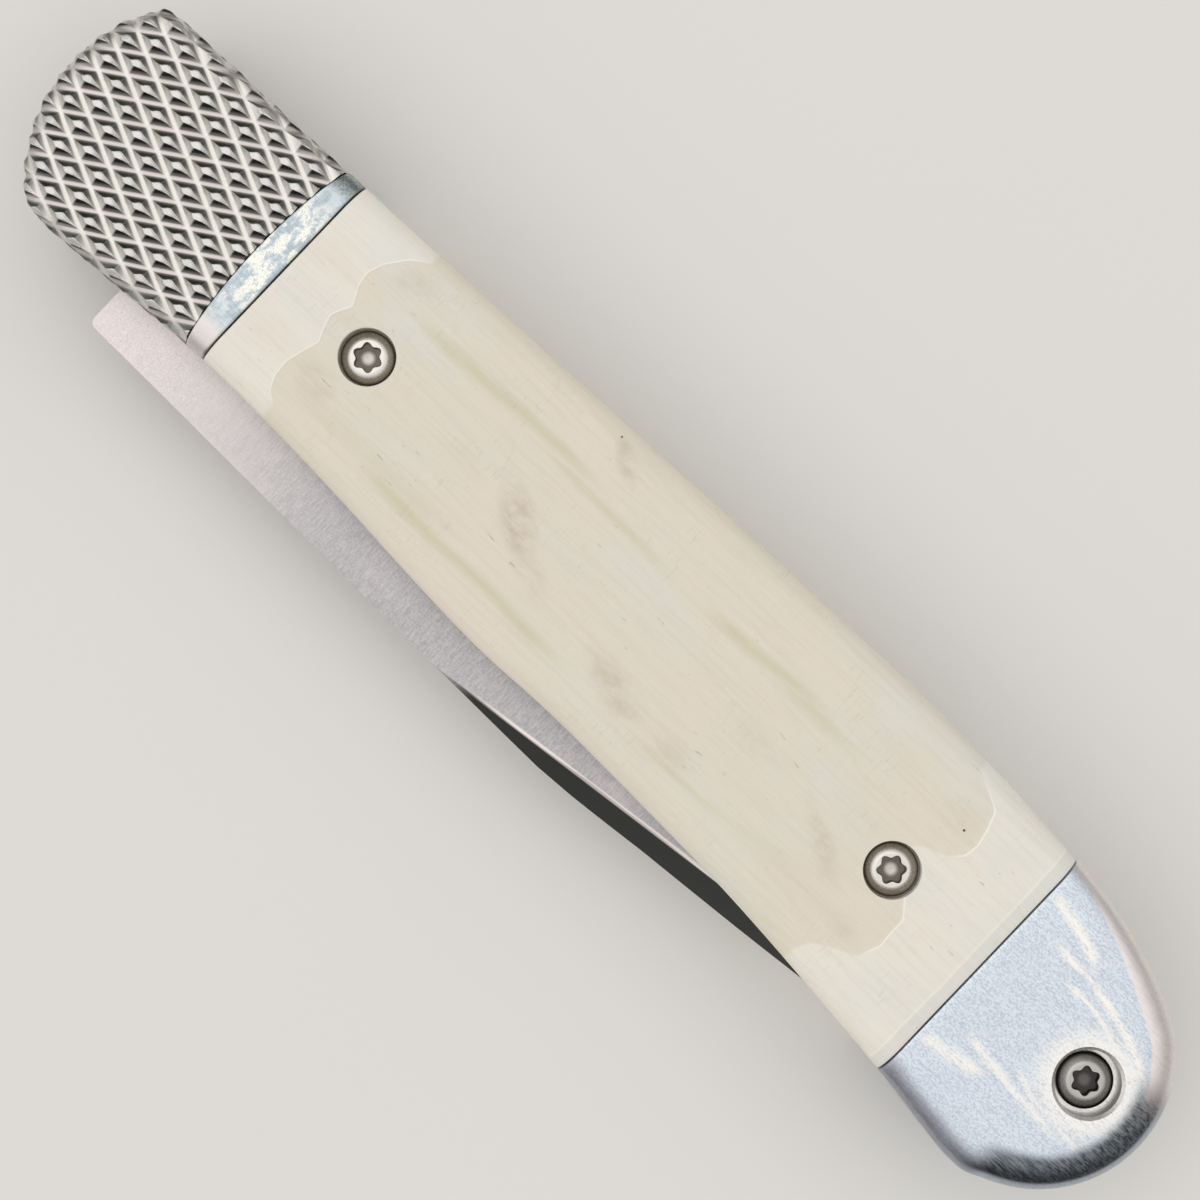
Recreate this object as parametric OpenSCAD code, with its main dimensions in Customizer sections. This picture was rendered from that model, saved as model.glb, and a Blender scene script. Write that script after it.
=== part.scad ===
// Folding trapper knife, closed. It lies on its back scale, with its back edge towards +Y, its pivot end
// at -X and its butt at +X. The blade opens about a pivot pin that the knurled bolsters hide.

/* [Handle] */
// Length of the handle
handle_l = 105; // [92:1:118]
// Height of the closed knife, from its back to the blade's spine
closed_h = 22.2; // [20.5:0.1:25]
// Radius of the front end, seen from above
front_r = 12.2; // [11:0.1:15]
// Radius of the butt, seen from above
butt_r = 9.5; // [8.5:0.1:10.5]
// Width of the rounding at the edges of the faces
edge_w = 2.2; // [1:0.1:3]
// Depth of that rounding at the handle's sides
edge_d = 1.3; // [0.6:0.1:1.8]
// Width of the rounding at the butt
butt_edge_w = 3.4; // [2:0.1:4]
// Depth of the rounding at the butt
butt_edge_d = 1.9; // [1:0.1:2.2]

/* [Layers] */
// Thickness of the blade
blade_t = 2.8; // [2.2:0.1:3.6]
// Thickness of a pivot washer
washer_t = 0.15; // [0.1:0.05:0.3]
// Thickness of a liner
liner_t = 1.2; // [1:0.1:1.8]
// Thickness of the scales and bolsters over the liners
scale_t = 3.4; // [3:0.1:4.5]

/* [Bolsters and collars] */
// Length of the knurled bolsters, along their middle
bolster_l = 18.4; // [16.5:0.1:20]
// Radius of the curved seam between bolster and collar
seam_r = 42; // [30:1:80]
// Length of the collars, along their middle
collar_l = 2.4; // [2.2:0.1:3.5]
// Length of the rear bolsters
rear_l = 16.9; // [14:0.1:19]

/* [Knurling] */
// Spacing of the pyramids along a row
knurl_l = 3.42; // [2.8:0.02:4.4]
// Spacing of the rows across the bolster
knurl_w = 1.915; // [1.6:0.005:2.6]
// How far a row climbs from one pyramid to the next
knurl_rise = 0.34; // [0:0.02:0.6]
// Depth of the grooves
knurl_d = 0.45; // [0.2:0.01:0.6]

/* [Blade] */
// Distance from the pivot to the front end of the handle
pivot_in = 6.5; // [6.2:0.1:7.5]
// How far the pivot lies below the middle of the closed knife
pivot_drop = 0.27; // [0:0.01:0.8]
// Distance from the pivot to the tang's flats
tang_flat = 5.1; // [4.6:0.1:5.3]
// Radius of the tang's corners about the pivot
tang_r = 5.75; // [5.6:0.05:6]
// Distance from the pivot to the square step behind the tang
step_in = 6.05; // [5.9:0.05:7]
// Radius of the step's outer corner
step_r = 0.55; // [0.2:0.05:0.9]
// Distance from the pivot to the end of the ricasso
ricasso_l = 13.4; // [12.5:0.1:16]
// Radius of the notch between the kick and the edge
choil_r = 1.1; // [0.6:0.1:1.2]
// Distance from the pivot to the straight part of the edge
edge_drop = 5.4; // [5.2:0.1:5.8]
// Thickness of the cutting edge before it is honed
edge_t = 0.3; // [0.2:0.05:0.6]
// Width of the flat along the spine, above the bevels
flat_w = 5; // [3:0.1:7]
// Widest part of the false edge beside the spine
swedge_w = 1.65; // [0.8:0.05:2.4]
// Thickness of the spine along the false edge
swedge_t = 0.7; // [0.4:0.1:1.6]
// Room between the blade's tip and the end of the butt
tip_room = 10.5; // [10:0.1:16]

/* [Back spring] */
// Thickness of the spring's arm
arm_t = 3.6; // [3:0.1:4.2]
// Length of the nose that bears on the tang, behind the pivot
nose_l = 9.3; // [8:0.1:11]
// Length of the slope from the nose to the arm
nose_slope = 3.5; // [2:0.1:6]
// Length of the slope from the arm to the tail
tail_slope = 14; // [10:0.5:18]
// Steel left below the barrel
tail_wall = 2.4; // [1.5:0.1:3]

/* [Pins and screws] */
// Radius of the pivot pin
pivot_r = 1.6; // [1.2:0.1:2.2]
// Depth of the pivot pin in each bolster
pivot_hold = 1.4; // [0.8:0.1:1.8]
// Radius of the washers
washer_r = 4.4; // [3.4:0.1:4.6]
// Radius of the spring's centre pin
spring_pin_r = 1; // [0.7:0.05:1.3]
// Radius of the barrel in the butt
barrel_r = 1.9; // [1.6:0.05:2.2]
// Radius of the threaded shanks
screw_r = 1; // [0.7:0.05:1.2]
// Radius of the scale screws' heads
head_r = 1.88; // [1.5:0.02:2.2]
// Height of the screw heads
head_h = 1.1; // [0.8:0.05:1.4]
// Radius of the butt screws' heads
butt_head_r = 2; // [1.7:0.05:2.3]
// Depth of the scale screws' heads below the face
head_sink = 0.2; // [0.1:0.05:0.6]
// Depth of the butt screws' heads below the face
butt_sink = 0.75; // [0.1:0.05:0.9]
// Width of the chamfer round the butt screws' counterbores
butt_chamfer = 0.22; // [0.1:0.02:0.4]
// Depth of the drive recess in the heads
drive_d = 0.6; // [0.3:0.05:0.7]
// Radius of the drive recess, out to its lobes
drive_r = 0.95; // [0.7:0.05:1.1]
// Radius of the bolsters' hidden screws
hidden_r = 0.8; // [0.6:0.05:1]
// Distance of the hidden screws from the bolster's seam
hidden_in = 4; // [3:0.1:5]
// Length of a hidden screw inside its bolster
hidden_hold = 1.7; // [1:0.1:1.9]
// Radius of the locating pins
dowel_r = 0.5; // [0.4:0.05:0.65]
// Distance of the rear bolsters' locating pins from their seam
rear_pin_in = 3; // [2:0.1:5]
// Length of a locating pin inside its collar or bolster
dowel_hold = 1.4; // [0.8:0.1:1.8]

/* [Clearances] */
// Gap between the spring's front end and the step of the open blade
step_gap = 0.25; // [0.1:0.05:0.6]
// Radial clearance of the blade and washers on the pivot pin
run_gap = 0.03; // [0.01:0.01:0.08]
// Clearance between the blade and each washer
side_gap = 0.02; // [0.02:0.01:0.06]
// Clearance between the spring and the tang at rest
rest_gap = 0.05; // [0.03:0.01:0.1]
// Radial clearance of fixed pins and screws in their holes
fit_gap = 0.03; // [0.01:0.01:0.06]
// Radial clearance of the scale screws' heads
head_gap = 0.14; // [0.05:0.01:0.3]
// Radial clearance of the butt screws' heads
butt_head_gap = 0.32; // [0.1:0.02:0.4]
// Width of the seams between the covers
seam_gap = 0.12; // [0.05:0.01:0.3]

/* [Hidden] */

// How far a cut runs past the face that it opens
over = 0.3;
// Least spacing of the places at which an outline is worked out
least_step = 0.3;

// Heights of the layers over the blade's middle plane
blade_z = blade_t / 2;
washer_z = blade_z + side_gap;
liner_z = washer_z + washer_t;
cover_z = liner_z + liner_t;
face_z = cover_z + scale_t;

// Ends of the handle, seams and pivot
front_x = -handle_l / 2;
butt_x = handle_l / 2;
bolster_seam = front_x + bolster_l;
collar_seam = bolster_seam + collar_l;
rear_seam = butt_x - rear_l;
pivot_x = front_x + pivot_in;
pivot_y = -pivot_drop;
blade_l = handle_l - pivot_in - tip_room;

// The back and the blade side of the handle, in shares of its length and of the closed height
back_shares = [
    [-0.464, 0.434], [-0.4, 0.438], [-0.304, 0.446], [-0.171, 0.461], [-0.039, 0.48], [0.093, 0.493],
    [0.179, 0.5], [0.265, 0.487], [0.318, 0.467], [0.371, 0.441], [0.422, 0.38], [0.455, 0.311]
];
side_shares = [
    [-0.43, -0.326], [-0.375, -0.31], [-0.304, -0.289], [-0.237, -0.294], [-0.171, -0.31],
    [-0.105, -0.333], [-0.039, -0.348], [0.027, -0.34], [0.127, -0.353], [0.192, -0.367],
    [0.267, -0.399], [0.345, -0.44], [0.397, -0.479], [0.418, -0.487]
];
// Height of the front end's centre and of its two corners
front_mid_share = 0.107;
back_corner_share = 0.433;
side_corner_share = -0.328;
// Height of the butt's centre, and its corner on the blade side
butt_mid_share = -0.053;
butt_corner_share = [0.431, -0.488];

function handle_point(share) = [share[0] * handle_l, share[1] * closed_h];

// Point at share t of a smooth curve from b to c, whose neighbours are a and d
function between(a, b, c, d, t) =
    b + ((c - a) * t + (2 * a - 5 * b + 4 * c - d) * t * t + (3 * b - a - 3 * c + d) * t * t * t) / 2;
function smooth(pts, steps) = [
    for (i = [0 : len(pts) - 2], k = [0 : steps - 1])
        between(pts[max(i - 1, 0)], pts[i], pts[i + 1], pts[min(i + 2, len(pts) - 1)], k / steps),
    pts[len(pts) - 1]
];
// Point at share t of a corner at c, rounded from a to b
function rounded(a, c, b, t) = (1 - t) * (1 - t) * a + 2 * t * (1 - t) * c + t * t * b;
function arc_point(mid, r, angle) = mid + r * [cos(angle), sin(angle)];
function clamp(v) = min(max(v, 0), 1);
function mix(a, b, t) = a + (b - a) * t;
// Share from 0 to 1 that starts and ends level
function ease(v) = clamp(v) * clamp(v) * (3 - 2 * clamp(v));

// Front end: an arc between two corners, and the butt: an arc that ends at a lower corner
front_mid = [front_x + front_r, front_mid_share * closed_h];
back_corner_a = 180 - asin((back_corner_share * closed_h - front_mid[1]) / front_r);
side_corner_a = 180 - asin((side_corner_share * closed_h - front_mid[1]) / front_r);
butt_mid = [butt_x - butt_r, butt_mid_share * closed_h];
corner_turn = 6;
butt_back_a = 50;
butt_corner_a = -71;
back_pts = [for (s = back_shares) handle_point(s)];
side_pts = [for (s = side_shares) handle_point(s)];
back_curve = concat(
    [for (a = [180 : -2 : back_corner_a + corner_turn]) arc_point(front_mid, front_r, a)],
    [for (t = [0 : 0.25 : 0.75]) rounded(
        arc_point(front_mid, front_r, back_corner_a + corner_turn / 2),
        arc_point(front_mid, front_r, back_corner_a), back_pts[0], t)],
    smooth(back_pts, 4),
    [for (a = [butt_back_a : -2 : 0]) arc_point(butt_mid, butt_r, a)]
);
side_curve = concat(
    [for (a = [180 : 2 : side_corner_a - corner_turn]) arc_point(front_mid, front_r, a)],
    [for (t = [0 : 0.25 : 0.75]) rounded(
        arc_point(front_mid, front_r, side_corner_a - corner_turn / 2),
        arc_point(front_mid, front_r, side_corner_a), side_pts[0], t)],
    smooth(side_pts, 4),
    [for (t = [0.25 : 0.25 : 0.75]) rounded(side_pts[len(side_pts) - 1],
        handle_point(butt_corner_share), arc_point(butt_mid, butt_r, butt_corner_a), t)],
    [for (a = [butt_corner_a : 2 : 0]) arc_point(butt_mid, butt_r, a)]
);
function back_y(x) = lookup(x, back_curve);
function side_y(x) = lookup(x, side_curve);

// Places along the handle where its outline has a point
front_turn = 60;
front_end_a = 2;
butt_turn = 86;
butt_end_a = 2;
straight_steps = 27;
straight_x = front_x + front_r * (1 - cos(front_turn));
curved_x = butt_x - butt_r * (1 - cos(butt_turn));
stations = concat(
    [for (a = [front_end_a : 4 : front_turn]) front_x + front_r * (1 - cos(a))],
    [for (k = [1 : straight_steps - 1]) mix(straight_x, curved_x, k / straight_steps)],
    [for (a = [butt_turn : -7 : butt_end_a]) butt_x - butt_r * (1 - cos(a))]
);
function stations_from(x0, x1) = let (last = x1 > curved_x ? x1 : x1 - least_step) concat(
    [x0], [for (x = stations) if (x > x0 + least_step && x < last) x], [x1]);
butt_end = stations[len(stations) - 1];
function outline(xs) = concat(
    [for (x = xs) [x, side_y(x)]],
    [for (k = [len(xs) - 1 : -1 : 0]) [xs[k], back_y(xs[k])]]
);

// Places of the pins and screws, in shares of the handle's length and of the closed height
scale_screw_shares = [[-0.2236, 0.068], [0.2546, 0.04]];
butt_screw = handle_point([0.4428, -0.019]);
spring_pin_share = 0.01;
spring_pin_x = spring_pin_share * handle_l;
spring_pin = [spring_pin_x, back_y(spring_pin_x) - arm_t / 2];
hidden_height_shares = [0.25, -0.17];
hidden_screw_places = [for (s = hidden_height_shares) [bolster_seam - hidden_in, s * closed_h]];
collar_height_shares = [0.22, -0.15];
collar_pin_places = [for (s = collar_height_shares) [(bolster_seam + collar_seam) / 2, s * closed_h]];
rear_height_shares = [0.26, -0.26];
rear_pin_places = [for (s = rear_height_shares) [rear_seam + rear_pin_in, s * closed_h]];

// Curved seam between knurled bolster and collar, bulging towards the front
seam_mid = [bolster_seam + seam_r, (back_y(bolster_seam) + side_y(bolster_seam)) / 2];

// Draws a side's piece on the front side, or mirrored on the back side, about the middle plane
module front() translate([0, 0, face_z]) children();
module back() translate([0, 0, face_z]) mirror([0, 0, 1]) children();

// Solid through loops of points that have the same count, each loop closed from end to start
module skin(loops) {
    n = len(loops);
    m = len(loops[0]);
    function id(j, k) = j * m + k % m;
    faces = concat(
        [for (j = [0 : n - 2], k = [0 : m - 1]) each [
            [id(j, k), id(j, k + 1), id(j + 1, k + 1)],
            [id(j, k), id(j + 1, k + 1), id(j + 1, k)]
        ]],
        [for (k = [0 : m / 2 - 2]) each [
            [id(0, k), id(0, m - 2 - k), id(0, k + 1)],
            [id(0, k), id(0, m - 1 - k), id(0, m - 2 - k)],
            [id(n - 1, k), id(n - 1, k + 1), id(n - 1, m - 2 - k)],
            [id(n - 1, k), id(n - 1, m - 2 - k), id(n - 1, m - 1 - k)]
        ]]
    );
    polyhedron(points = [for (l = loops) each l], faces = faces, convexity = 4);
}

// Cover plate with rounded edges: its outline at a place, drawn in towards the middle of the handle
edge_steps = 6;
function butt_share(x) = ease((x - rear_seam) / rear_l);
function inward(p) = let (to = (p[0] > butt_mid[0] ? butt_mid : [p[0], 0]) - p) to / norm(to);
function edge_points(p, w, d) = concat(
    [[p[0], p[1], cover_z]],
    [for (k = [0 : edge_steps]) let (a = 90 * k / edge_steps, q = p + inward(p) * w * (1 - cos(a)))
        [q[0], q[1], face_z - d * (1 - sin(a))]]
);
function cover_loop(x) = let (
    t = butt_share(x),
    w = mix(edge_w, butt_edge_w, t),
    d = mix(edge_d, butt_edge_d, t),
    back_edge = edge_points([x, back_y(x)], w, d),
    side_edge = edge_points([x, side_y(x)], w, d)
) concat(back_edge, [for (k = [len(side_edge) - 1 : -1 : 0]) side_edge[k]]);
module cover(x0, x1) skin([for (x = stations_from(x0, x1)) cover_loop(x)]);

module bore(place, r, z0, z1) translate([place[0], place[1], z0]) cylinder(r = r, h = z1 - z0, $fn = 48);

// Height of the knurled bolster's face under the tips, rounded off towards its outline
function edge_room(p) = min(
    back_y(p[0]) - p[1], p[1] - side_y(p[0]), p[0] < front_mid[0] ? front_r - norm(p - front_mid) : edge_w);
function rounded_z(p) = let (t = 1 - clamp(edge_room(p) / edge_w))
    face_z - edge_d * (1 - sqrt(1 - t * t));

// Diamond knurling: a slanted grid of cells with a groove between each two. A pyramid rises from its cell
// to a small level top, and a long facet slopes from there towards the butt.
knurl_start_share = [-1.313, 1.373];
knurl_start = [bolster_seam + knurl_start_share[0] * knurl_l, seam_mid[1] + knurl_start_share[1] * knurl_w];
groove_share = 0.09;
top_shares = [[-0.13, -0.13], [0.16, -0.11], [0.4, 0.31], [-0.14, 0.06]];
top_height_shares = [1, 1, 0.15, 1];
bolster_end = seam_mid[0] - sqrt(pow(seam_r, 2) - pow(closed_h / 2, 2));
module knurled_block() {
    reach = ceil((bolster_end - front_x) / knurl_l + closed_h / knurl_w);
    lines = 4 * reach;
    function place(i, j) = knurl_start
        + [(i + j - 2 * reach) * knurl_l, (i + j - 2 * reach) * knurl_rise + (i - j) * knurl_w] / 2;
    // Whether cell i, j touches the bolster, and whether a square of the grid lies among such cells
    function touches(i, j) = let (p = place(i, j), x0 = p[0] - knurl_l / 2, x1 = p[0] + knurl_l / 2)
        x1 > front_x && x0 < bolster_end && p[1] < max(back_y(x0), back_y(x1)) + knurl_w / 2
            && p[1] > min(side_y(x0), side_y(x1)) - knurl_w / 2;
    kept = [for (i = [0 : 2 * reach]) [for (j = [0 : 2 * reach]) touches(i, j)]];
    function held(u, v) = kept[floor(u / 2)][floor(v / 2)] && kept[ceil(u / 2)][floor(v / 2)]
        && kept[floor(u / 2)][ceil(v / 2)] && kept[ceil(u / 2)][ceil(v / 2)];
    // Two grid lines bound each cell, so a square is a cell where both its numbers are even
    function line(u) = floor(u / 2) + (u % 2 - 0.5) * (1 - groove_share);
    grid = [for (u = [0 : lines - 1], v = [0 : lines - 1]) place(line(u), line(v))];
    squares = [for (u = [0 : lines - 2], v = [0 : lines - 2])
        if (held(u, v)) [[u, v], [u + 1, v], [u + 1, v + 1], [u, v + 1]]];
    cells = [for (s = squares) if (s[0][0] % 2 + s[0][1] % 2 == 0) s];
    grooves = [for (s = squares) if (s[0][0] % 2 + s[0][1] % 2 > 0) s];
    // Number of a point under the plate, on the grooves' level and on a pyramid's top
    function low(p) = p[0] * lines + p[1];
    function base(p) = low(p) + lines * lines;
    function top(n, k) = 2 * lines * lines + 4 * n + k % 4;
    beside = [[0, -1], [1, 0], [0, 1], [-1, 0]];
    polyhedron(
        points = concat(
            [for (p = grid) [p[0], p[1], cover_z - over]],
            [for (p = grid) [p[0], p[1], rounded_z(p) - knurl_d]],
            [for (c = cells, k = [0 : 3]) let (at = c[0] / 2 + top_shares[k], p = place(at[0], at[1]))
                [p[0], p[1], rounded_z(p) - knurl_d * (1 - top_height_shares[k])]]
        ),
        faces = concat(
            [for (s = squares) [for (k = [3 : -1 : 0]) low(s[k])]],
            [for (s = grooves, k = [1, 2]) [base(s[0]), base(s[k]), base(s[k + 1])]],
            [for (n = [0 : len(cells) - 1], k = [0, 1]) [top(n, k), top(n, k + 1), top(n, 3)]],
            [for (n = [0 : len(cells) - 1], k = [0 : 3])
                let (a = base(cells[n][k]), b = base(cells[n][(k + 1) % 4]), c = top(n, k + 1))
                each [[a, b, c], [a, c, top(n, k)]]],
            [for (s = squares, k = [0 : 3]) let (p = s[k], q = s[(k + 1) % 4], next = s[0] + beside[k])
                if (!held(next[0], next[1])) each [[base(q), base(p), low(p)], [base(q), low(p), low(q)]]]
        ),
        convexity = 8
    );
}

module seam_cylinder(r) translate([seam_mid[0], seam_mid[1], 0])
    cylinder(r = r, h = face_z + over, $fn = 360);

module knurled_bolster() color("darkgray") difference() {
    intersection() {
        translate([0, 0, cover_z]) linear_extrude(face_z - cover_z)
            polygon(outline([for (x = stations) if (x < collar_seam) x]));
        knurled_block();
    }
    seam_cylinder(seam_r + seam_gap / 2);
    bore([pivot_x, pivot_y], pivot_r + fit_gap, cover_z - over, cover_z + pivot_hold);
    for (p = hidden_screw_places)
        bore(p, hidden_r + fit_gap, cover_z - over, cover_z + hidden_hold + fit_gap);
}

module collar() color("gainsboro") difference() {
    intersection() {
        cover(bolster_seam - over, collar_seam - seam_gap / 2);
        seam_cylinder(seam_r - seam_gap / 2);
    }
    for (p = collar_pin_places) bore(p, dowel_r + fit_gap, cover_z - over, cover_z + dowel_hold + fit_gap);
}

module bone_scale() color("wheat") difference() {
    cover(collar_seam + seam_gap / 2, rear_seam - seam_gap / 2);
    for (s = scale_screw_shares) {
        bore(handle_point(s), screw_r + fit_gap, cover_z - over, face_z);
        bore(handle_point(s), head_r + head_gap, face_z - head_sink - head_h, face_z + over);
    }
    bore(spring_pin, spring_pin_r + fit_gap, cover_z - over, cover_z + fit_gap);
}

module rear_bolster() color("lightsteelblue") difference() {
    cover(rear_seam + seam_gap / 2, butt_end);
    bore(butt_screw, screw_r + fit_gap, cover_z - over, face_z);
    bore(butt_screw, butt_head_r + butt_head_gap, face_z - butt_sink - head_h, face_z + over);
    translate([butt_screw[0], butt_screw[1], face_z - butt_chamfer])
        cylinder(r1 = butt_head_r + butt_head_gap, r2 = butt_head_r + butt_head_gap + 2 * butt_chamfer,
            h = 2 * butt_chamfer, $fn = 48);
    for (p = rear_pin_places) bore(p, dowel_r + fit_gap, cover_z - over, cover_z + dowel_hold + fit_gap);
}

// Head of a hidden screw, or the seat for it with a gap round it, from the liner's inner face outwards
head_flat_share = 0.25;
module countersink(gap) {
    flat = head_flat_share * hidden_r;
    cylinder(r = 2 * hidden_r - flat + gap, h = flat, $fn = 48);
    translate([0, 0, flat]) cylinder(r1 = 2 * hidden_r - flat + gap, r2 = hidden_r + gap,
        h = hidden_r - flat, $fn = 48);
}

// Side plate, with tapped holes for the scale screws and countersunk ones for the bolster's screws
module liner() color("silver") difference() {
    translate([0, 0, liner_z]) linear_extrude(liner_t) polygon(outline(stations));
    bore([pivot_x, pivot_y], pivot_r + fit_gap, liner_z - over, cover_z + over);
    bore(spring_pin, spring_pin_r + fit_gap, liner_z - over, cover_z + over);
    bore(butt_screw, barrel_r + fit_gap, liner_z - over, cover_z + over);
    for (s = scale_screw_shares) bore(handle_point(s), screw_r + fit_gap, liner_z - over, cover_z + over);
    for (p = concat(collar_pin_places, rear_pin_places))
        bore(p, dowel_r + fit_gap, liner_z - over, cover_z + over);
    for (p = hidden_screw_places) {
        bore(p, hidden_r + fit_gap, liner_z - over, cover_z + over);
        translate([p[0], p[1], liner_z]) countersink(fit_gap);
    }
}

// Back spring: its nose bears on the tang's flats, its arm lies along the back, and its tail fills the butt
function arm_y(x) = back_y(x) - arm_t;
nose_y = pivot_y + tang_flat + rest_gap;
nose_end = pivot_x + nose_l;
tail_y = butt_screw[1] - barrel_r - tail_wall;
tail_x = butt_screw[0] - barrel_r - tail_wall / 2;
function spring_y(x) = mix(
    mix(nose_y, arm_y(x), ease((x - nose_end) / nose_slope)), tail_y, ease((x - tail_x) / tail_slope + 1));
spring_front = pivot_x - step_in + step_gap;
nose_steps = 6;
tail_steps = 12;
spring_places = concat(
    [spring_front],
    [for (k = [0 : nose_steps]) nose_end + nose_slope * k / nose_steps],
    [for (x = stations)
        if (x > nose_end + nose_slope + least_step && x < tail_x - tail_slope - least_step) x],
    [for (k = [0 : tail_steps]) tail_x - tail_slope + tail_slope * k / tail_steps]
);
module backspring() color("slategray") difference() {
    intersection() {
        translate([0, 0, face_z - liner_z]) linear_extrude(2 * liner_z) polygon(outline(stations));
        translate([0, 0, face_z - liner_z - over]) linear_extrude(2 * (liner_z + over)) polygon(concat(
            [for (x = spring_places) [x, spring_y(x)]],
            [[butt_x + over, tail_y], [butt_x + over, closed_h], [spring_places[0], closed_h]]
        ));
    }
    translate([0, 0, face_z]) {
        bore(spring_pin, spring_pin_r + fit_gap, -liner_z - over, liner_z + over);
        bore(butt_screw, barrel_r + fit_gap, -liner_z - over, liner_z + over);
    }
}

// Blade, in its own frame: pivot at the origin, tip towards +X and edge towards +Y. Its spine is listed
// in shares of its length and of the height from the pivot to the lowest point of the closed knife
spine_root = back_y(pivot_x) - pivot_y;
spine_h = closed_h / 2 - pivot_drop;
spine_shares = [
    [0.155, 0.93], [0.315, 0.96], [0.475, 0.985], [0.56, 1], [0.59, 0.998], [0.635, 0.969], [0.668, 0.939],
    [0.7, 0.918], [0.78, 0.864], [0.845, 0.813], [0.93, 0.742], [1, 0.67]
];
spine_curve = smooth(concat(
    [[step_in, spine_root]], [for (s = spine_shares) [s[0] * blade_l, s[1] * spine_h]]), 3);
function spine_y(x) = -lookup(x, spine_curve);
belly_share = 0.58;
belly_power = 2.2;
function edge_y(x) = mix(edge_drop, spine_y(blade_l) + edge_t,
    pow(clamp((x / blade_l - belly_share) / (1 - belly_share)), belly_power));
swedge_start_share = 0.46;
swedge_full_share = 0.6;
taper_share = 0.35;
swedge_limit_share = 0.25;
flat_limit_share = 0.5;
function blade_loop(x) = let (
    full = x > ricasso_l,
    spine = spine_y(x),
    edge = edge_y(x),
    tall = edge - spine,
    half = blade_z * (1 - taper_share * pow(x / blade_l, 3)),
    swedge = clamp((x / blade_l - swedge_start_share) / (swedge_full_share - swedge_start_share)),
    low = spine + min(max(swedge_w * swedge, edge_t), tall * swedge_limit_share),
    flat = spine + min(flat_w, tall * flat_limit_share),
    side = [
        [spine, mix(half, min(half, swedge_t / 2), swedge)], [low, half], [flat, half],
        [edge, full ? edge_t / 2 : half]
    ]
) concat(
    [for (p = side) [x, p[0], p[1]]],
    [for (k = [3 : -1 : 0]) [x, side[k][0], -side[k][1]]]
);
// Loops of the blade, closer together towards its tip
blade_steps = 24;
crowding_share = 0.33;
function blade_place(t) = mix(ricasso_l, blade_l, 1 - (1 - t) * (1 - crowding_share * t));
module blade() color("lightgray") translate([pivot_x, pivot_y, face_z]) difference() {
    union() {
        intersection() {
            cylinder(r = tang_r, h = blade_t, center = true, $fn = 96);
            cube([2 * tang_flat, 2 * tang_flat, blade_t], center = true);
        }
        linear_extrude(blade_t, center = true) polygon(concat(
            [[0, -tang_flat], [step_in, -tang_flat]],
            [for (a = [180 : 15 : 270]) [step_in + step_r, step_r - spine_root] + step_r * [cos(a), sin(a)]],
            [for (p = spine_curve)
                if (p[0] > step_in + 2 * step_r && p[0] < ricasso_l - least_step) [p[0], -p[1]]],
            [[ricasso_l, spine_y(ricasso_l)], [ricasso_l, edge_drop],
                [ricasso_l - 2 * choil_r, tang_flat], [0, tang_flat]]
        ));
        skin([for (k = [0 : blade_steps]) blade_loop(blade_place(k / blade_steps))]);
    }
    cylinder(r = pivot_r + run_gap, h = blade_t + 2 * over, center = true, $fn = 64);
    translate([ricasso_l - choil_r - edge_t, edge_drop, 0])
        cylinder(r = choil_r, h = blade_t + 2 * over, center = true, $fn = 48);
}

module pivot_pin() color("dimgray") translate([pivot_x, pivot_y, face_z])
    cylinder(r = pivot_r, h = 2 * (cover_z + pivot_hold - fit_gap), center = true, $fn = 64);

module pivot_washer() color("peru") difference() {
    bore([pivot_x, pivot_y], washer_r, washer_z, liner_z);
    bore([pivot_x, pivot_y], pivot_r + run_gap, washer_z - over, liner_z + over);
}

module spring_pin() color("dimgray") translate([spring_pin[0], spring_pin[1], face_z])
    cylinder(r = spring_pin_r, h = 2 * cover_z, center = true, $fn = 48);

module butt_barrel() color("gray") translate([butt_screw[0], butt_screw[1], face_z]) difference() {
    cylinder(r = barrel_r, h = 2 * cover_z, center = true, $fn = 48);
    cylinder(r = screw_r + fit_gap, h = 2 * (cover_z + over), center = true, $fn = 48);
}

// Screw with a domed head and a six-lobed recess, its head's top at z and its shank's end at z_end
dome_share = 0.6;
lobe_share = 0.25;
module domed_screw(place, r, z, z_end) translate([place[0], place[1], z - head_h]) {
    dome = head_h * dome_share;
    ball_r = (r * r + dome * dome) / (2 * dome);
    difference() {
        intersection() {
            cylinder(r = r, h = head_h, $fn = 64);
            translate([0, 0, head_h - ball_r]) sphere(r = ball_r, $fn = 96);
        }
        translate([0, 0, head_h - drive_d]) difference() {
            cylinder(r = drive_r, h = head_h, $fn = 48);
            for (a = [0 : 60 : 300]) rotate(a) translate([drive_r, 0, -over])
                cylinder(r = drive_r * lobe_share, h = head_h + 2 * over, $fn = 24);
        }
    }
    translate([0, 0, z_end - z + head_h]) cylinder(r = screw_r, h = z - head_h - z_end, $fn = 48);
}
module scale_screws() color("silver")
    for (s = scale_screw_shares) domed_screw(handle_point(s), head_r, face_z - head_sink, liner_z + fit_gap);
butt_screw_gap_share = 0.08;
module butt_screw_piece() color("dimgray")
    domed_screw(butt_screw, butt_head_r, face_z - butt_sink, butt_screw_gap_share * face_z);

module bolster_screws() color("dimgray") for (p = hidden_screw_places) translate([p[0], p[1], liner_z]) {
    countersink(0);
    cylinder(r = hidden_r, h = liner_t + hidden_hold, $fn = 48);
}
module dowels(places) color("dimgray")
    for (p = places) bore(p, dowel_r, liner_z + fit_gap, cover_z + dowel_hold);

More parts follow.
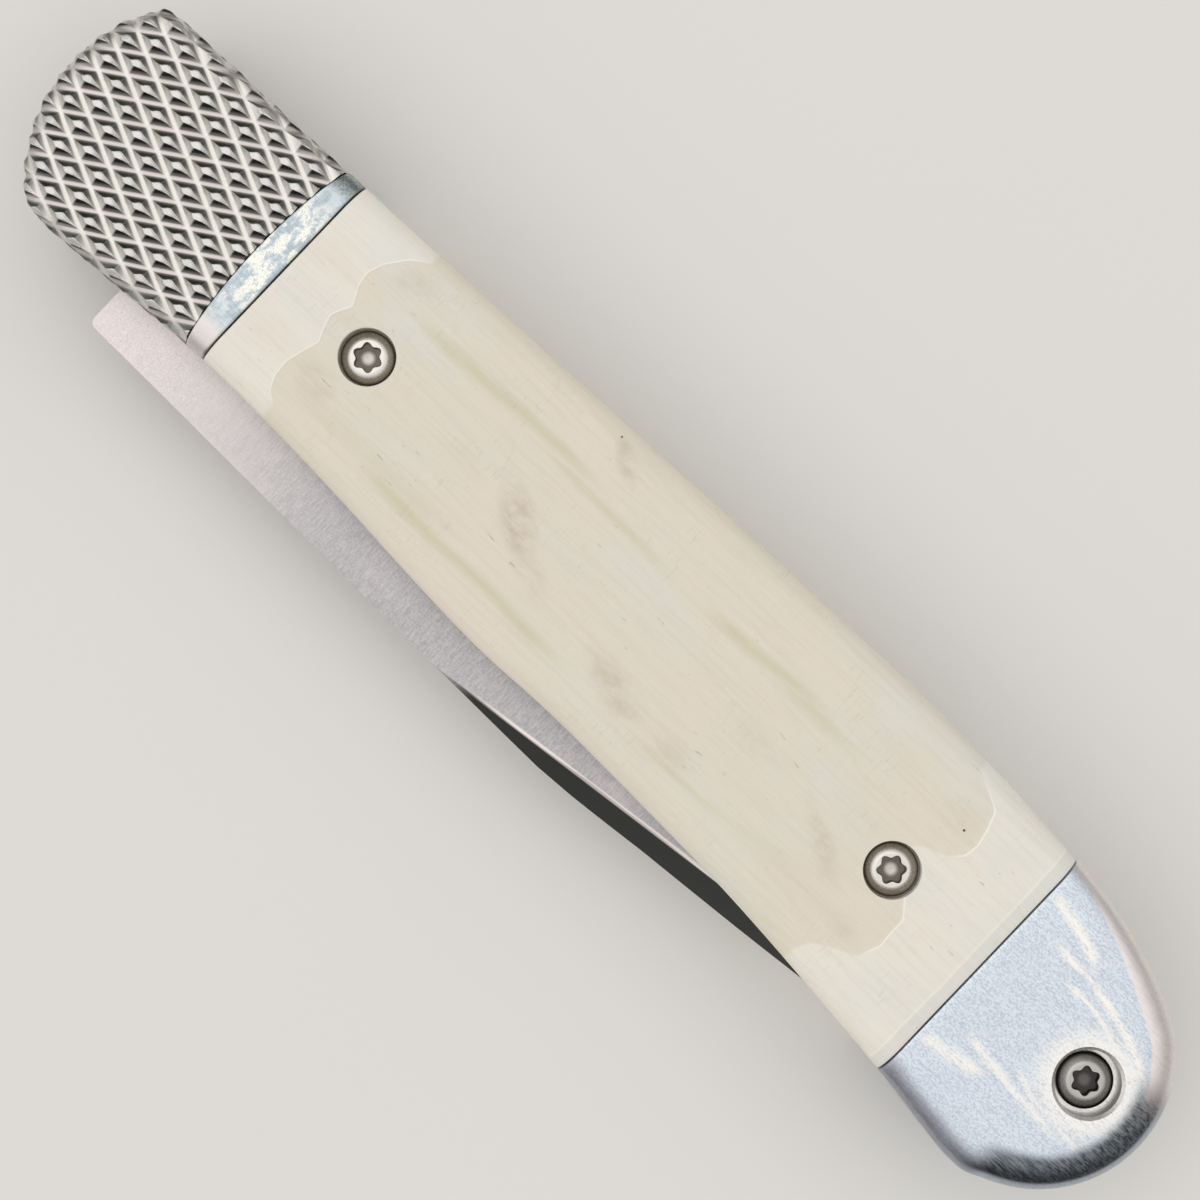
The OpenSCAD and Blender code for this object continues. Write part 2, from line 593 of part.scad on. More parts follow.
blade();
backspring();
front() liner();  // liner_front
back() liner();  // liner_back
front() knurled_bolster();  // knurled_bolster_front
back() knurled_bolster();  // knurled_bolster_back
front() collar();  // collar_front
back() collar();  // collar_back
front() bone_scale();  // bone_scale_front
back() bone_scale();  // bone_scale_back
front() rear_bolster();  // rear_bolster_front
back() rear_bolster();  // rear_bolster_back
pivot_pin();
front() pivot_washer();  // pivot_washer_front
back() pivot_washer();  // pivot_washer_back
spring_pin();
butt_barrel();
front() butt_screw_piece();  // butt_screw_front
back() butt_screw_piece();  // butt_screw_back
front() scale_screws();  // scale_screws_front
back() scale_screws();  // scale_screws_back
front() bolster_screws();  // bolster_screws_front
back() bolster_screws();  // bolster_screws_back
front() dowels(collar_pin_places);  // collar_pins_front
back() dowels(collar_pin_places);  // collar_pins_back
front() dowels(rear_pin_places);  // rear_bolster_pins_front
back() dowels(rear_pin_places);  // rear_bolster_pins_back
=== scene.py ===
import bpy
import bmesh
import math
import numpy as np
from mathutils import Matrix, Vector
from mathutils.kdtree import KDTree


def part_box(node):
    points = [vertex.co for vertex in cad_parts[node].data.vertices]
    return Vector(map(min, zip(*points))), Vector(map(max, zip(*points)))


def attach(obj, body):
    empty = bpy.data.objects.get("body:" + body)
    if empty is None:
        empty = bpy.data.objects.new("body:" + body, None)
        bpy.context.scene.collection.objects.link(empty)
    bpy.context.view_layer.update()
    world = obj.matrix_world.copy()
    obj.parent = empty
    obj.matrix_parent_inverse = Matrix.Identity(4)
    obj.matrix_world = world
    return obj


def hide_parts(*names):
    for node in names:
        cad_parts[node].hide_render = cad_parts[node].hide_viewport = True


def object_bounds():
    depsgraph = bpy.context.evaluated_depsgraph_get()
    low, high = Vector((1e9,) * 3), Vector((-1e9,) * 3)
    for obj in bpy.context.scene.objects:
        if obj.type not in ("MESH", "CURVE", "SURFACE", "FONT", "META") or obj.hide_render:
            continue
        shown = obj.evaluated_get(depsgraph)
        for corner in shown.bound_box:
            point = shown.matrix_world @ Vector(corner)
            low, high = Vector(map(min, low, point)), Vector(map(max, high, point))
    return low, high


# Closed slip-joint trapper: the looks of every surface, built round the fixed frame
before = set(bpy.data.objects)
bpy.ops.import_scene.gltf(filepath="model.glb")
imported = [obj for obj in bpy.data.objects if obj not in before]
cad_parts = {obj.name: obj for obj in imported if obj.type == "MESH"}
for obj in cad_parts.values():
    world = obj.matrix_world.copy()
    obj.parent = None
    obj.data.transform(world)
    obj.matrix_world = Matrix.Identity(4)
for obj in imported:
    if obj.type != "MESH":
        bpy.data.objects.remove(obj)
cadLow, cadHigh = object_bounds()
mm = 0.001
scene = bpy.context.scene
print("frame loaded:", len(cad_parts), "nodes")


def tint(code):  # web colour to the linear colour that a socket takes
    parts = [int(code[k:k + 2], 16) / 255 for k in (1, 3, 5)]
    return tuple(p / 12.92 if p < 0.04045 else ((p + 0.055) / 1.055) ** 2.4 for p in parts) + (1.0,)


# Node maths as Python expressions
class Wire:
    def __init__(self, tree, socket=None):
        self.tree = tree
        self.socket = socket

    def node(self, kind, settings=None, inputs=None, out=0):
        made = self.tree.nodes.new(kind)
        for key, value in (settings or {}).items():
            setattr(made, key, value)
        for key, value in (inputs or {}).items():
            if isinstance(value, Wire):
                self.tree.links.new(value.socket, made.inputs[key])
            else:
                made.inputs[key].default_value = value
        return Wire(self.tree, made.outputs[out])

    def maths(self, operation, *others):
        return self.node("ShaderNodeMath", {"operation": operation}, dict(enumerate((self, *others))))

    def __add__(self, other):
        return self.maths("ADD", other)

    def __sub__(self, other):
        return self.maths("SUBTRACT", other)

    def __rsub__(self, other):
        return self.node("ShaderNodeMath", {"operation": "SUBTRACT"}, {0: other, 1: self})

    def __mul__(self, other):
        return self.maths("MULTIPLY", other)

    def __truediv__(self, other):
        return self.maths("DIVIDE", other)

    def __pow__(self, other):
        return self.maths("POWER", other)

    def __abs__(self):
        return self.maths("ABSOLUTE")

    __radd__ = __add__

    def least(self, other):
        return self.maths("MINIMUM", other)

    def most(self, other):
        return self.maths("MAXIMUM", other)

    def step(self, low, high):  # 0 below low and 1 above high, with level ends
        return self.node("ShaderNodeMapRange", {"interpolation_type": "SMOOTHSTEP"},
                         {"Value": self, "From Min": low, "From Max": high})

    def axes(self):
        parts = self.node("ShaderNodeSeparateXYZ", None, {0: self}).socket.node
        return [Wire(self.tree, s) for s in parts.outputs]

    def place(self, scale=(1, 1, 1), move=(0, 0, 0), turn=0):
        return self.node("ShaderNodeMapping", None, {
            "Vector": self, "Scale": scale, "Location": move, "Rotation": (0, 0, turn)})

    def noise(self, stretch, detail=3, rough=0.5, twist=0, move=(0, 0, 0), turn=0):
        spot = self.place(stretch, move, turn)
        return self.node("ShaderNodeTexNoise", None, {
            "Vector": spot, "Scale": 1.0, "Detail": detail, "Roughness": rough, "Distortion": twist})

    def attribute(self, name):
        return self.node("ShaderNodeAttribute", {"attribute_name": name}, out=2)

    def blend(self, first, second):  # colours, with self as the share of the second
        return self.node("ShaderNodeMix", {"data_type": "RGBA"}, {0: self, 6: first, 7: second}, 2)


def newFinish(name, settings):  # a material, its place in mm and its settings with linear colours
    finish = bpy.data.materials.new(name)
    finish.use_nodes = True
    spot = Wire(finish.node_tree).node("ShaderNodeTexCoord", out=3)
    milli = spot.place(scale=(1000, 1000, 1000))  # a pattern is laid out in millimetres
    look = {key: tint(value) if isinstance(value, str) else value for key, value in settings.items()}
    return finish, milli, look


def dress(finish, look, colour, rough, height=None, sockets={"Metallic": 1.0}):
    shader = finish.node_tree.nodes["Principled BSDF"]
    inputs = {"Base Color": colour, "Roughness": rough + look["rough"], **sockets}
    if height:  # the relief is the depth in mm of a height from 0 to 1
        inputs["Normal"] = height.node("ShaderNodeBump", None, {
            "Height": height, "Distance": look["relief"] * mm, "Strength": 1.0})
    for key, value in inputs.items():
        if isinstance(value, Wire):
            finish.node_tree.links.new(value.socket, shader.inputs[key])
        else:
            shader.inputs[key].default_value = value
    return finish


# Bone: ground ends round an island of natural surface, with fibres, bands, mottles and pores
bone = {
    "ground": "#f0ebdf", "island": "#e6decc", "band": "#d8d1b5", "mottle": "#cbbda7", "pore": "#8f8576",
    "lip": "#fbf7ec", "cool": "#e1e3df", "warm": "#ecdfd3", "speck": "#3c3228",
    "frost": "#efe4e0", "tail": "#cfd2d3", "frostEnd": -30.3, "tailLine": 34.55,
    # Edges of the island in mm, from the back to the blade side
    "leftRim": [(-24.8, 9.2), (-26, 8.3), (-27.1, 6.8), (-27.45, 5.7), (-27.3, 4.7), (-26.6, 3.35),
                (-27.1, 2.4), (-27.3, 1.85), (-26.95, 0.75), (-26.6, 0), (-26.95, -1.15), (-27.3, -2.45),
                (-27.2, -3.75), (-26.75, -4.7), (-25.9, -5.3)],
    "rightRim": [(26.4, 10), (27.6, 9.45), (29.05, 8.7), (29.5, 7.45), (29.8, 6.15), (29.65, 5.05),
                 (28.9, 4.25), (27.2, 3.6), (26.4, 2.9), (27.2, 1.2), (28.6, 0.15), (29.6, -1.05),
                 (29.6, -2.25), (29.7, -3.4), (29.05, -5), (27.5, -5.7), (26.2, -6.4), (25.6, -7.5)],
    "rimSteps": 400, "rimSoft": 9, "step": 0.05, "stepWidth": 0.25, "lipHeight": 0.03, "lipWidth": 0.1,
    # Where the raised lip runs along a rim: from, fade in, to, fade out, strength
    "lipLeft": [(-6, 2, 10, 2, 1)], "lipRight": [(4.2, 0.8, 10, 1.5, 1), (-5, 1.2, 0.6, 0.6, 0.9)],
    # Cross sections along the scale, closer at the rims: from, to, step
    "stations": [(-31.2, -28.2, 0.4), (-28.2, -24.2, 0.12), (-24, 25, 0.5), (25, 30.6, 0.12),
                 (30.8, 35.4, 0.4)],
    "turnedShift": (1.5, 0.4, 40), "rough": 0.36, "relief": 0.02,
    "sockets": {"Subsurface Weight": 0.06, "Subsurface Radius": (0.9 * mm, 0.6 * mm, 0.4 * mm),
                "Subsurface Scale": 1.0, "Specular IOR Level": 0.42},
    # Stained bands: middle, half width, start, end, slope, strength
    "bands": [(5.9, 0.75, -22, -8, 0.01, 0.9), (5.3, 0.6, -9, 0, -0.02, 0.7),
              (5.2, 0.8, 6, 14, 0.03, 0.9), (5.0, 0.7, 12, 18, -0.03, 0.7),
              (-4.1, 0.8, -18, -1, -0.025, 0.9), (-3.4, 1.3, -24, -12, 0.02, 0.4),
              (-4.9, 0.5, 8, 16, 0.04, 0.5), (-4.2, 1.2, 17, 27, 0.02, 0.35)],
    # Brownish mottles: place, half length, half width, turn, strength
    "mottles": [(-8.3, 0.4, 3.4, 1.3, -0.62, 0.9), (-5.2, -1.6, 2.6, 1.1, -0.4, 0.55),
                (4.5, -3.2, 3.6, 1.5, -0.3, 0.75), (-5.9, 8.7, 1.9, 0.7, -0.6, 0.75),
                (9.8, -3.9, 2.2, 1.3, 0.1, 0.45), (22.1, -1.2, 3.6, 1.1, -0.55, 0.6),
                (-13.5, 0.9, 2.2, 0.8, 0, 0.3), (14.2, 0.9, 3, 1.2, 0.2, 0.3),
                (-24.8, -2.2, 1.6, 1.6, 0, 0.45), (-24.6, 7.4, 2.0, 1.2, 0.5, 0.45),
                (27.6, 6.8, 2.0, 1.6, 0, 0.35), (27.2, -4.4, 1.6, 1.2, 0.3, 0.35)],
    "specks": [(28.4, 6.25, 0.13), (-7.1, 9.6, 0.1)],
}


def boneFinish(name, turned):
    finish, milli, look = newFinish(name, bone)
    if turned:  # the other scale is another piece of bone
        milli = milli.place(scale=(-1, 1, 1), move=look["turnedShift"])
    x, y = milli.axes()[:2]
    drift = milli.noise((0.12, 0.3, 0.3), 3) - 0.5
    rim = milli.attribute("rim")
    lip = milli.attribute("lip")
    inside = rim.step(-0.12, 0.1)
    colour = inside.blend(look["ground"], look["island"])
    patches = milli.noise((0.07, 0.16, 0.16), 4, 0.6)
    colour = (patches.step(0.45, 0.72) * 0.55).blend(colour, look["warm"])
    colour = (patches.step(0.55, 0.28) * 0.5).blend(colour, look["cool"])
    stain = rim * 0
    for middle, half, start, end, slope, strength in look["bands"]:
        line = y - middle - (x - start) * slope + drift * 0.9
        span = x.step(start - 2, start + 2) * (1 - x.step(end - 2, end + 3))
        stain = stain.most((1 - abs(line).step(0, half)) * span * strength)
    colour = (stain * inside).blend(colour, look["band"])
    brown = rim * 0
    for px, py, long, wide, turn, strength in look["mottles"]:
        along = (x - px) * math.cos(turn) + (y - py) * math.sin(turn)
        cross = (y - py) * math.cos(turn) - (x - px) * math.sin(turn)
        far = (along * along / long ** 2 + cross * cross / wide ** 2) ** 0.5 + drift * 1.6
        brown = brown.most((1 - far.step(0.1, 1.25)) * strength)
    cloud = milli.noise((0.5, 0.9, 0.9), 4, 0.65)
    colour = (brown * cloud.step(0.25, 0.7)).blend(colour, look["mottle"])
    fibre = milli.noise((0.16, 2.6, 2.6), 5, 0.6, 0.3)
    fine = milli.noise((0.5, 9, 9), 3, 0.6)
    colour = (fibre.step(0.42, 0.68) * 0.15).blend(colour, look["mottle"])
    colour = (fine.step(0.5, 0.75) * 0.14).blend(colour, look["lip"])
    dash = milli.noise((1.1, 5.5, 5.5), 2, 0.4)
    crowd = milli.noise((0.2, 0.25, 0.25), 2, move=(7, 3, 0))
    pores = dash.step(0.7, 0.78) * crowd.step(0.45, 0.65)
    colour = (pores * 0.45).blend(colour, look["pore"])
    ticks = milli.noise((7, 1.1, 1.1), 3, 0.6).step(0.55, 0.72) * crowd.step(0.55, 0.35)
    colour = (ticks * 0.16).blend(colour, look["pore"])
    grit = milli.noise((5, 5, 5), 3, 0.7)
    frost = x.step(look["frostEnd"], look["frostEnd"] - 1) * grit.step(0.48, 0.62)
    colour = (frost * 0.7).blend(colour, look["frost"])
    tail = x - look["tailLine"] - drift * 0.3
    colour = (tail.step(0, 0.15) * 0.3).blend(colour, look["tail"])
    colour = (abs(tail).step(0.14, 0.04) * 0.35).blend(colour, look["lip"])
    colour = (tail.step(0, 0.4) * grit.step(0.6, 0.68) * 0.6).blend(colour, look["frost"])
    # A painted highlight along the raised lip
    edge = abs(rim).step(0.09, 0.02) * lip
    colour = (edge * 0.9).blend(colour, look["lip"])
    for px, py, size in look["specks"]:
        far = ((x - px) ** 2 + (y - py) ** 2) ** 0.5
        colour = (far.step(size, size * 0.4)).blend(colour, look["speck"])
    height = fibre * 0.5 + fine * 0.25 - pores * 0.9
    return dress(finish, look, colour, fibre * 0.16 + pores * 0.2, height, look["sockets"])


# Steels: streaks run along one axis, blotches are hand polishing; the collar's pale blotches and the
# bolster's bright streaks are painted reflections
steels = {
    # Knurl: the east, north and south pyramid faces are painted shade; the groove, slash and bright tones are
    # painted highlights in the grooves and on the crests
    "knurl": {"base": "#e0ddd7", "dark": "#aaa6a0", "bright": "#dfdddc", "slash": "#cac2c0",
              "groove": "#d7d3cc", "leaf": "#bdbab4", "eastShade": "#5f605b", "northShade": "#454c43",
              "southShade": "#2e292c", "streak": "#8d8a88", "rough": 0.29, "relief": 0.008},
    # Collar: bright, yellow and pink are painted reflections; shade is painted shade on the back edge and at
    # the seam
    "collar": {"base": "#bfc9d0", "dark": "#a1abb2", "bright": "#e9e6dc", "yellow": "#ebe5bd",
               "pink": "#dbd1cd", "shade": "#7f857c", "rough": 0.26, "relief": 0.012, "middleY": 2.2,
               "middleFade": (6.5, 2.5), "pinkY": (-3.2, -4.6), "shadeY": (7.9, 8.8),
               "seamX": (-31.95, -31.72)},
    "bolster": {"base": "#dae2ea", "dark": "#bcc4cf", "bright": "#f4f0ea", "cool": "#cfd5e8",
                # rim is a painted highlight on the back rounding, low is painted shade on the blade-side
                # rounding, butt is a dark painted reflection on the lower butt rounding
                "rim": "#f5ebe7", "low": "#8d8a94", "butt": "#43484c", "rough": 0.34, "relief": 0.006,
                "swirlX": 46.49, "swirlY": -0.42,
                # Painted bright reflections as streaks: start, end, bow, half width, strength, in mm
                "streaks": [((36.2, 7.2), (41.2, 5.9), 0.2, 0.75, 1.0),
                            ((38.8, 4.9), (50, 1.8), 0.9, 0.5, 1.0),
                            ((41.0, 3.6), (48, 2.1), 0.4, 0.4, 0.8),
                            ((38.5, -3.6), (47, -4.6), -0.1, 0.5, 0.8),
                            ((36.2, -5.8), (40.5, -5.0), 0, 0.8, 0.9),
                            ((42.5, -3.2), (49, -4.2), -0.3, 0.35, 0.7)]},
    "blade": {"base": "#c4c1c2", "dark": "#a4a1a4", "bright": "#e8deda", "frost": "#f6ebe8",
              # swedge is a painted dark reflection on the swedge bevel
              "swedge": "#4a4b49", "swedgeSlope": 0.11, "swedgeLow": -10.23, "tipSlope": 0.0205,
              "tipLow": -8.26, "wornX": (-14, -40), "nearX": (-24, -36), "swedgeX": (-5, -2),
              "shineX": (-4, 2), "rough": 0.46, "relief": 0.006},
    "spring": {"base": "#a6a8a9", "dark": "#868889", "bright": "#bcbdbd", "rough": 0.36, "relief": 0.003},
    "liner": {"base": "#bfc0bf", "dark": "#9a9b9b", "bright": "#d8d8d6", "rough": 0.38, "relief": 0.003},
    # pit is painted shade in the recess and round the head's edge; floor is the share of the recess floor
    # painted lighter
    "screw": {"base": "#bfbab2", "dark": "#8f887d", "bright": "#dddad3", "pitShade": "#4d4741", "floor": 1.0,
              "rough": 0.26, "relief": 0.002},
    # The butt screw takes the screw steel again with every tone painted darker, as shade
    "buttScrew": {"base": "#8f8d8a", "dark": "#676461", "bright": "#b9b6b2", "pitShade": "#211f1e", "floor": 0.3,
                  "rough": 0.28, "relief": 0.002},
    "pin": {"base": "#b4b3b1", "dark": "#8b8a88", "bright": "#cbcac8", "rough": 0.36, "relief": 0.003},
    "bronze": {"base": "#c09a66", "dark": "#94713f", "bright": "#d7b787", "rough": 0.4, "relief": 0.003},
}


def plainSteel(name, kind, streak=(0.4, 12, 12)):
    finish, milli, look = newFinish(name, steels[kind])
    grain = milli.noise(streak, 4, 0.65)
    cloud = milli.noise((0.25, 0.25, 0.25), 3, 0.5)
    colour = grain.step(0.35, 0.65).blend(look["dark"], look["base"])
    colour = (cloud.step(0.45, 0.75) * 0.25).blend(colour, look["bright"])
    return dress(finish, look, colour, grain * 0.14 - 0.07, grain)


def cellOf(along, across):  # place in a knurled cell, and how far inside its leaf-shaped top
    column, row = along.maths("ROUND"), across.maths("ROUND")
    m, n = along - column, across - row
    cell = along.node("ShaderNodeCombineXYZ", None, {"X": column, "Y": row})
    chance = along.node("ShaderNodeTexWhiteNoise", {"noise_dimensions": "3D"}, {"Vector": cell}) - 0.5
    long, thwart = m + n, m - n + chance * 0.05
    upper = long.step(-0.3, -0.02) * 0.34 - (long - 0.05).most(0) * 0.5
    lower = long.most(0) * 0.45 - long.step(-0.3, -0.08) * 0.21
    inside = (upper - thwart).least(thwart - lower).least(long + 0.27).least((0.62 - long) * 0.6)
    return m, n, long, chance, inside, thwart


def knurlFinish():
    finish, milli, look = newFinish("knurledSteel", steels["knurl"])
    along, across = milli.attribute("along"), milli.attribute("across")
    m, n, long, chance, inside, thwart = cellOf(along, across)
    room = 0.5 - abs(m).most(abs(n))
    grain = milli.noise((6, 6, 6), 4, 0.6)
    scratch = milli.noise((6, 22, 9), 3, 0.6, turn=0.5)
    cloud = milli.noise((0.35, 0.35, 0.35), 2) - 0.5
    # Painted light and shade on each pyramid face: the west face painted lighter towards its corner, the
    # east, north and south faces painted shade
    west = ((0 - m).step(0.1, 0.42) * 0.85 + grain * 0.3).blend(look["dark"], look["base"])
    eastShade = long.step(-0.15, 0.8).blend(look["eastShade"], look["groove"])
    colour = (m - abs(n)).step(-0.06, 0.1).blend(west, eastShade)
    northShade = (room.step(0.07, 0.22) * (cloud + 0.95)).blend(look["dark"], look["northShade"])
    colour = (0 - n - abs(m)).step(-0.08, 0.05).blend(colour, northShade)
    southShade = room.step(0.13, 0.27).blend(look["dark"], look["southShade"])
    colour = (n - abs(m)).step(-0.06, 0.05).blend(colour, southShade)
    # The grooves take painted highlights, toned by their direction and brightest where they cross
    rise = (abs(n) - abs(m)).step(-0.06, 0.06)
    groove = rise.blend(look["groove"], look["slash"])
    groove = (abs(m).step(0.3, 0.46) * abs(n).step(0.3, 0.46) * 0.7).blend(groove, look["bright"])
    colour = (room.step(0.14, 0.02) * (cloud * 0.6 + chance * 0.12 + 0.88)).blend(colour, groove)
    # The leaf-shaped crest takes a painted highlight, lightest at its edge
    leaf = inside.step(-0.02, 0.015)
    facing = inside.step(0.0, 0.06) * (scratch * 0.7 + chance * 0.3 + 0.25)
    top = facing.blend(look["bright"], look["leaf"])
    streak = abs(inside - 0.085).step(0.03, 0.008) * (thwart - 0.02).step(0, 0.04) * long.step(-0.1, 0.02)
    top = (streak * 0.75).blend(top, look["streak"])
    colour = leaf.blend(colour, top)
    colour = (scratch.step(0.45, 0.7) * 0.22).blend(colour, look["dark"])
    return dress(finish, look, colour, grain * 0.16 - 0.08, grain)


def collarFinish():
    finish, milli, look = newFinish("collarSteel", steels["collar"])
    x, y = milli.axes()[:2]
    blotch = milli.noise((1.17, 0.65, 0.78), 5, 0.7, 0.15)
    cross = milli.noise((1.44, 10.8, 4.8), 3, 0.6, turn=0.35)
    scuff = milli.noise((8.4, 4.2, 5.6), 4, 0.75, turn=0.5)
    middle = abs(y - look["middleY"]).step(*look["middleFade"])
    colour = (blotch * 0.6 + cross * 0.4).step(0.36, 0.6).blend(look["dark"], look["base"])
    # Painted reflections: white and yellow blotches in a band about the middle
    whiteReflection = blotch.step(0.44, 0.54) * scuff.step(0.38, 0.52) * middle
    colour = whiteReflection.blend(colour, look["bright"])
    colour = (scuff.step(0.53, 0.66) * blotch.step(0.46, 0.58) * middle * 0.7).blend(colour, look["yellow"])
    # A painted pink reflection on the blade-side rounding, then painted shade on the back edge and at the
    # seam
    colour = (y.step(*look["pinkY"]) * 0.8).blend(colour, look["pink"])
    colour = (y.step(*look["shadeY"]) * scuff.step(0.35, 0.6) * 0.85).blend(colour, look["shade"])
    colour = (x.step(*look["seamX"]) * 0.5).blend(colour, look["shade"])
    return dress(finish, look, colour, scuff * 0.24 - 0.1, scuff * 0.5 + cross * 0.5)


def bolsterFinish():
    finish, milli, look = newFinish("bolsterSteel", steels["bolster"])
    x, y = milli.axes()[:2]
    inset = milli.attribute("inset")
    speckle = milli.noise((4.8, 7.2, 4.8), 4, 0.65)
    lines = milli.noise((0.192, 9.6, 8), 4, 0.6)
    hair = milli.noise((0.6, 7.2, 4.8), 4, 0.65, 0.5, turn=-0.2)
    wave = milli.noise((0.42, 1.26, 0.7), 4, 0.65, 0.4) - 0.5
    colour = (speckle * 0.7 + hair * 0.3).step(0.4, 0.58).blend(look["dark"], look["base"])
    colour = (lines.step(0.5, 0.7) * y.step(-3.5, -6) * 0.6).blend(colour, look["cool"])
    # Painted reflections: the bright streaks and a bright swirl
    shine = inset * 0
    for (x0, y0), (x1, y1), bow, half, strength in look["streaks"]:
        share = (x - x0) / (x1 - x0)
        line = y - (share * (y1 - y0) + y0 + share * (1 - share) * bow * 4) + wave * 0.9
        span = share.step(-0.12, 0.1) * share.step(1.15, 0.85)
        shine = shine.most((1 - abs(line).step(0, half)) * span * strength)
    ringed = ((x - look["swirlX"]) ** 2 + (y - look["swirlY"]) ** 2) ** 0.5 + wave * 0.8
    shine = shine.most(ringed.step(4.6, 2.6) * 0.883)
    colour = (shine * (hair * 0.5 + speckle * 0.5).step(0.32, 0.52)).blend(colour, look["bright"])
    # Painted highlight along the back rounding, painted shade along the blade-side rounding, and a dark
    # painted reflection on the lower butt rounding with a paler outermost edge
    seam = hair.step(0.35, 0.65) * 0.35 + 0.65
    rim = inset - x.step(35.5, 47) * 1.4 - 0.5 + wave * 0.3
    colour = (rim.step(0.3, 0) * y.step(-1, 1.5) * seam).blend(colour, look["rim"])
    low = (inset + wave * 0.6).step(1.9, 0.9) * y.step(-2, -4) * seam
    colour = (low * 0.8).blend(colour, look["low"])
    butt = (inset + wave * 0.5).step(3.1, 2.1) * x.step(43.5, 46) * y.step(3.5, 0.5) * seam
    colour = butt.blend(colour, look["butt"])
    colour = (butt * inset.step(0.75, 0.45)).blend(colour, look["dark"])
    return dress(finish, look, colour, speckle * 0.16 - 0.08, speckle * 0.5 + lines * 0.5)


def bladeFinish():
    finish, milli, look = newFinish("bladeSteel", steels["blade"])
    x, y = milli.axes()[:2]
    cross = milli.noise((8, 0.8, 1.6), 4, 0.65)
    speckle = milli.noise((6.6, 6.6, 6.6), 3, 0.7)
    cloud = milli.noise((0.09, 0.3, 0.3), 3)
    colour = (cross * 0.5 + speckle * 0.5).step(0.36, 0.64).blend(look["dark"], look["base"])
    colour = (x.step(*look["wornX"]) * 0.7 + cloud.step(0.5, 0.75) * 0.3).blend(colour, look["bright"])
    grit = milli.noise((9.6, 9.6, 9.6), 3, 0.75, move=(7.2, 2.4, 0))
    near = x.step(*look["nearX"])
    colour = (grit.step(0.54, 0.66) * near * 0.7).blend(colour, look["frost"])
    colour = (grit.step(0.42, 0.34) * near * 0.5).blend(colour, look["dark"])
    # The swedge bevel is painted dark as a reflection, with a painted highlight along its edge
    straight = x * look["swedgeSlope"] + look["swedgeLow"]
    line = y - straight.least(x * look["tipSlope"] + look["tipLow"])
    swedge = line.step(0.04, -0.08) * x.step(*look["swedgeX"])
    colour = swedge.blend(colour, look["swedge"])
    colour = (abs(line).step(0.2, 0.08) * x.step(*look["shineX"])).blend(colour, look["bright"])
    return dress(finish, look, colour, speckle * 0.2 - 0.1 - swedge * 0.12, cross * 0.5 + speckle * 0.5)


screws = {"scaleHead": 1.88 * mm, "scaleSink": 0.2 * mm, "scaleGap": 0.14 * mm, "scaleChamfer": 0,
          "buttHead": 2 * mm, "buttSink": 0.75 * mm, "buttGap": 0.32 * mm, "buttChamfer": 0.22 * mm,
          "height": 1.1 * mm,
          "dome": 0.66 * mm, "domeSteps": 12, "drive": 0.9 * mm, "driveDepth": 0.55 * mm, "star": 0.13,
          "land": 1.2 * mm, "turns": 96, "smoothAngle": 30}


def screwFinish(name, kind):
    finish, milli, look = newFinish(name, steels[kind])
    ring, sunk = milli.attribute("ring"), milli.attribute("sunk")
    grain = milli.noise((8, 8, 8), 4, 0.65)
    dome = (grain * 0.7).step(0.05, 0.45).blend(look["dark"], look["base"])
    # The flat top round the recess is painted lighter as a highlight
    colour = (ring.step(1.42, 1.3) * 0.875).blend(dome, look["bright"])
    # The recess is painted shade, darker with depth, with its floor painted lighter
    pitShade = (sunk.step(0.05, 0.3) * 0.75).blend(look["dark"], look["pitShade"])
    pitShade = (ring.step(0.6, 0.2) * look["floor"]).blend(pitShade, look["base"])
    colour = sunk.step(0.0, 0.04).blend(colour, pitShade)
    # A ring of painted shade round the head's edge
    rim = screws["scaleHead"] / mm
    colour = ring.step(rim - 0.25, rim).blend(colour, look["pitShade"])
    return dress(finish, look, colour, grain * 0.14 - 0.07, grain * 0.5)


finishes = {
    "bone": boneFinish("boneFront", False), "boneTurned": boneFinish("boneBack", True),
    "knurl": knurlFinish(), "collar": collarFinish(), "bolster": bolsterFinish(), "blade": bladeFinish(),
    "liner": plainSteel("linerSteel", "liner"), "spring": plainSteel("springSteel", "spring", (0.4, 0.4, 14)),
    "screw": screwFinish("screwSteel", "screw"), "buttScrew": screwFinish("buttScrewSteel", "buttScrew"),
    "pin": plainSteel("pinSteel", "pin", (6, 6, 1)),
    "bronze": plainSteel("washerBronze", "bronze", (6, 6, 6)),
}
print("finishes made:", len(finishes))


# The handle's outline, walked round the top face of a liner and smoothed
def outerLoop(node):
    shape = bmesh.new()
    shape.from_mesh(node.data)
    bmesh.ops.remove_doubles(shape, verts=shape.verts, dist=0.001 * mm)
    height = max(v.co.z for v in shape.verts)
    flat = {f for f in shape.faces if all(abs(v.co.z - height) < 0.01 * mm for v in f.verts)}
    rim = {e for e in shape.edges if sum(f in flat for f in e.link_faces) == 1}
    spot = min((v for e in rim for v in e.verts), key=lambda v: v.co.x)
    loop = []
    edge = None
    while not loop or spot != loop[0]:
        loop.append(spot)
        edge = next(e for e in spot.link_edges if e in rim and e is not edge)
        spot = edge.other_vert(spot)
    points = np.array([v.co[:2] for v in loop])
    shape.free()
    return points


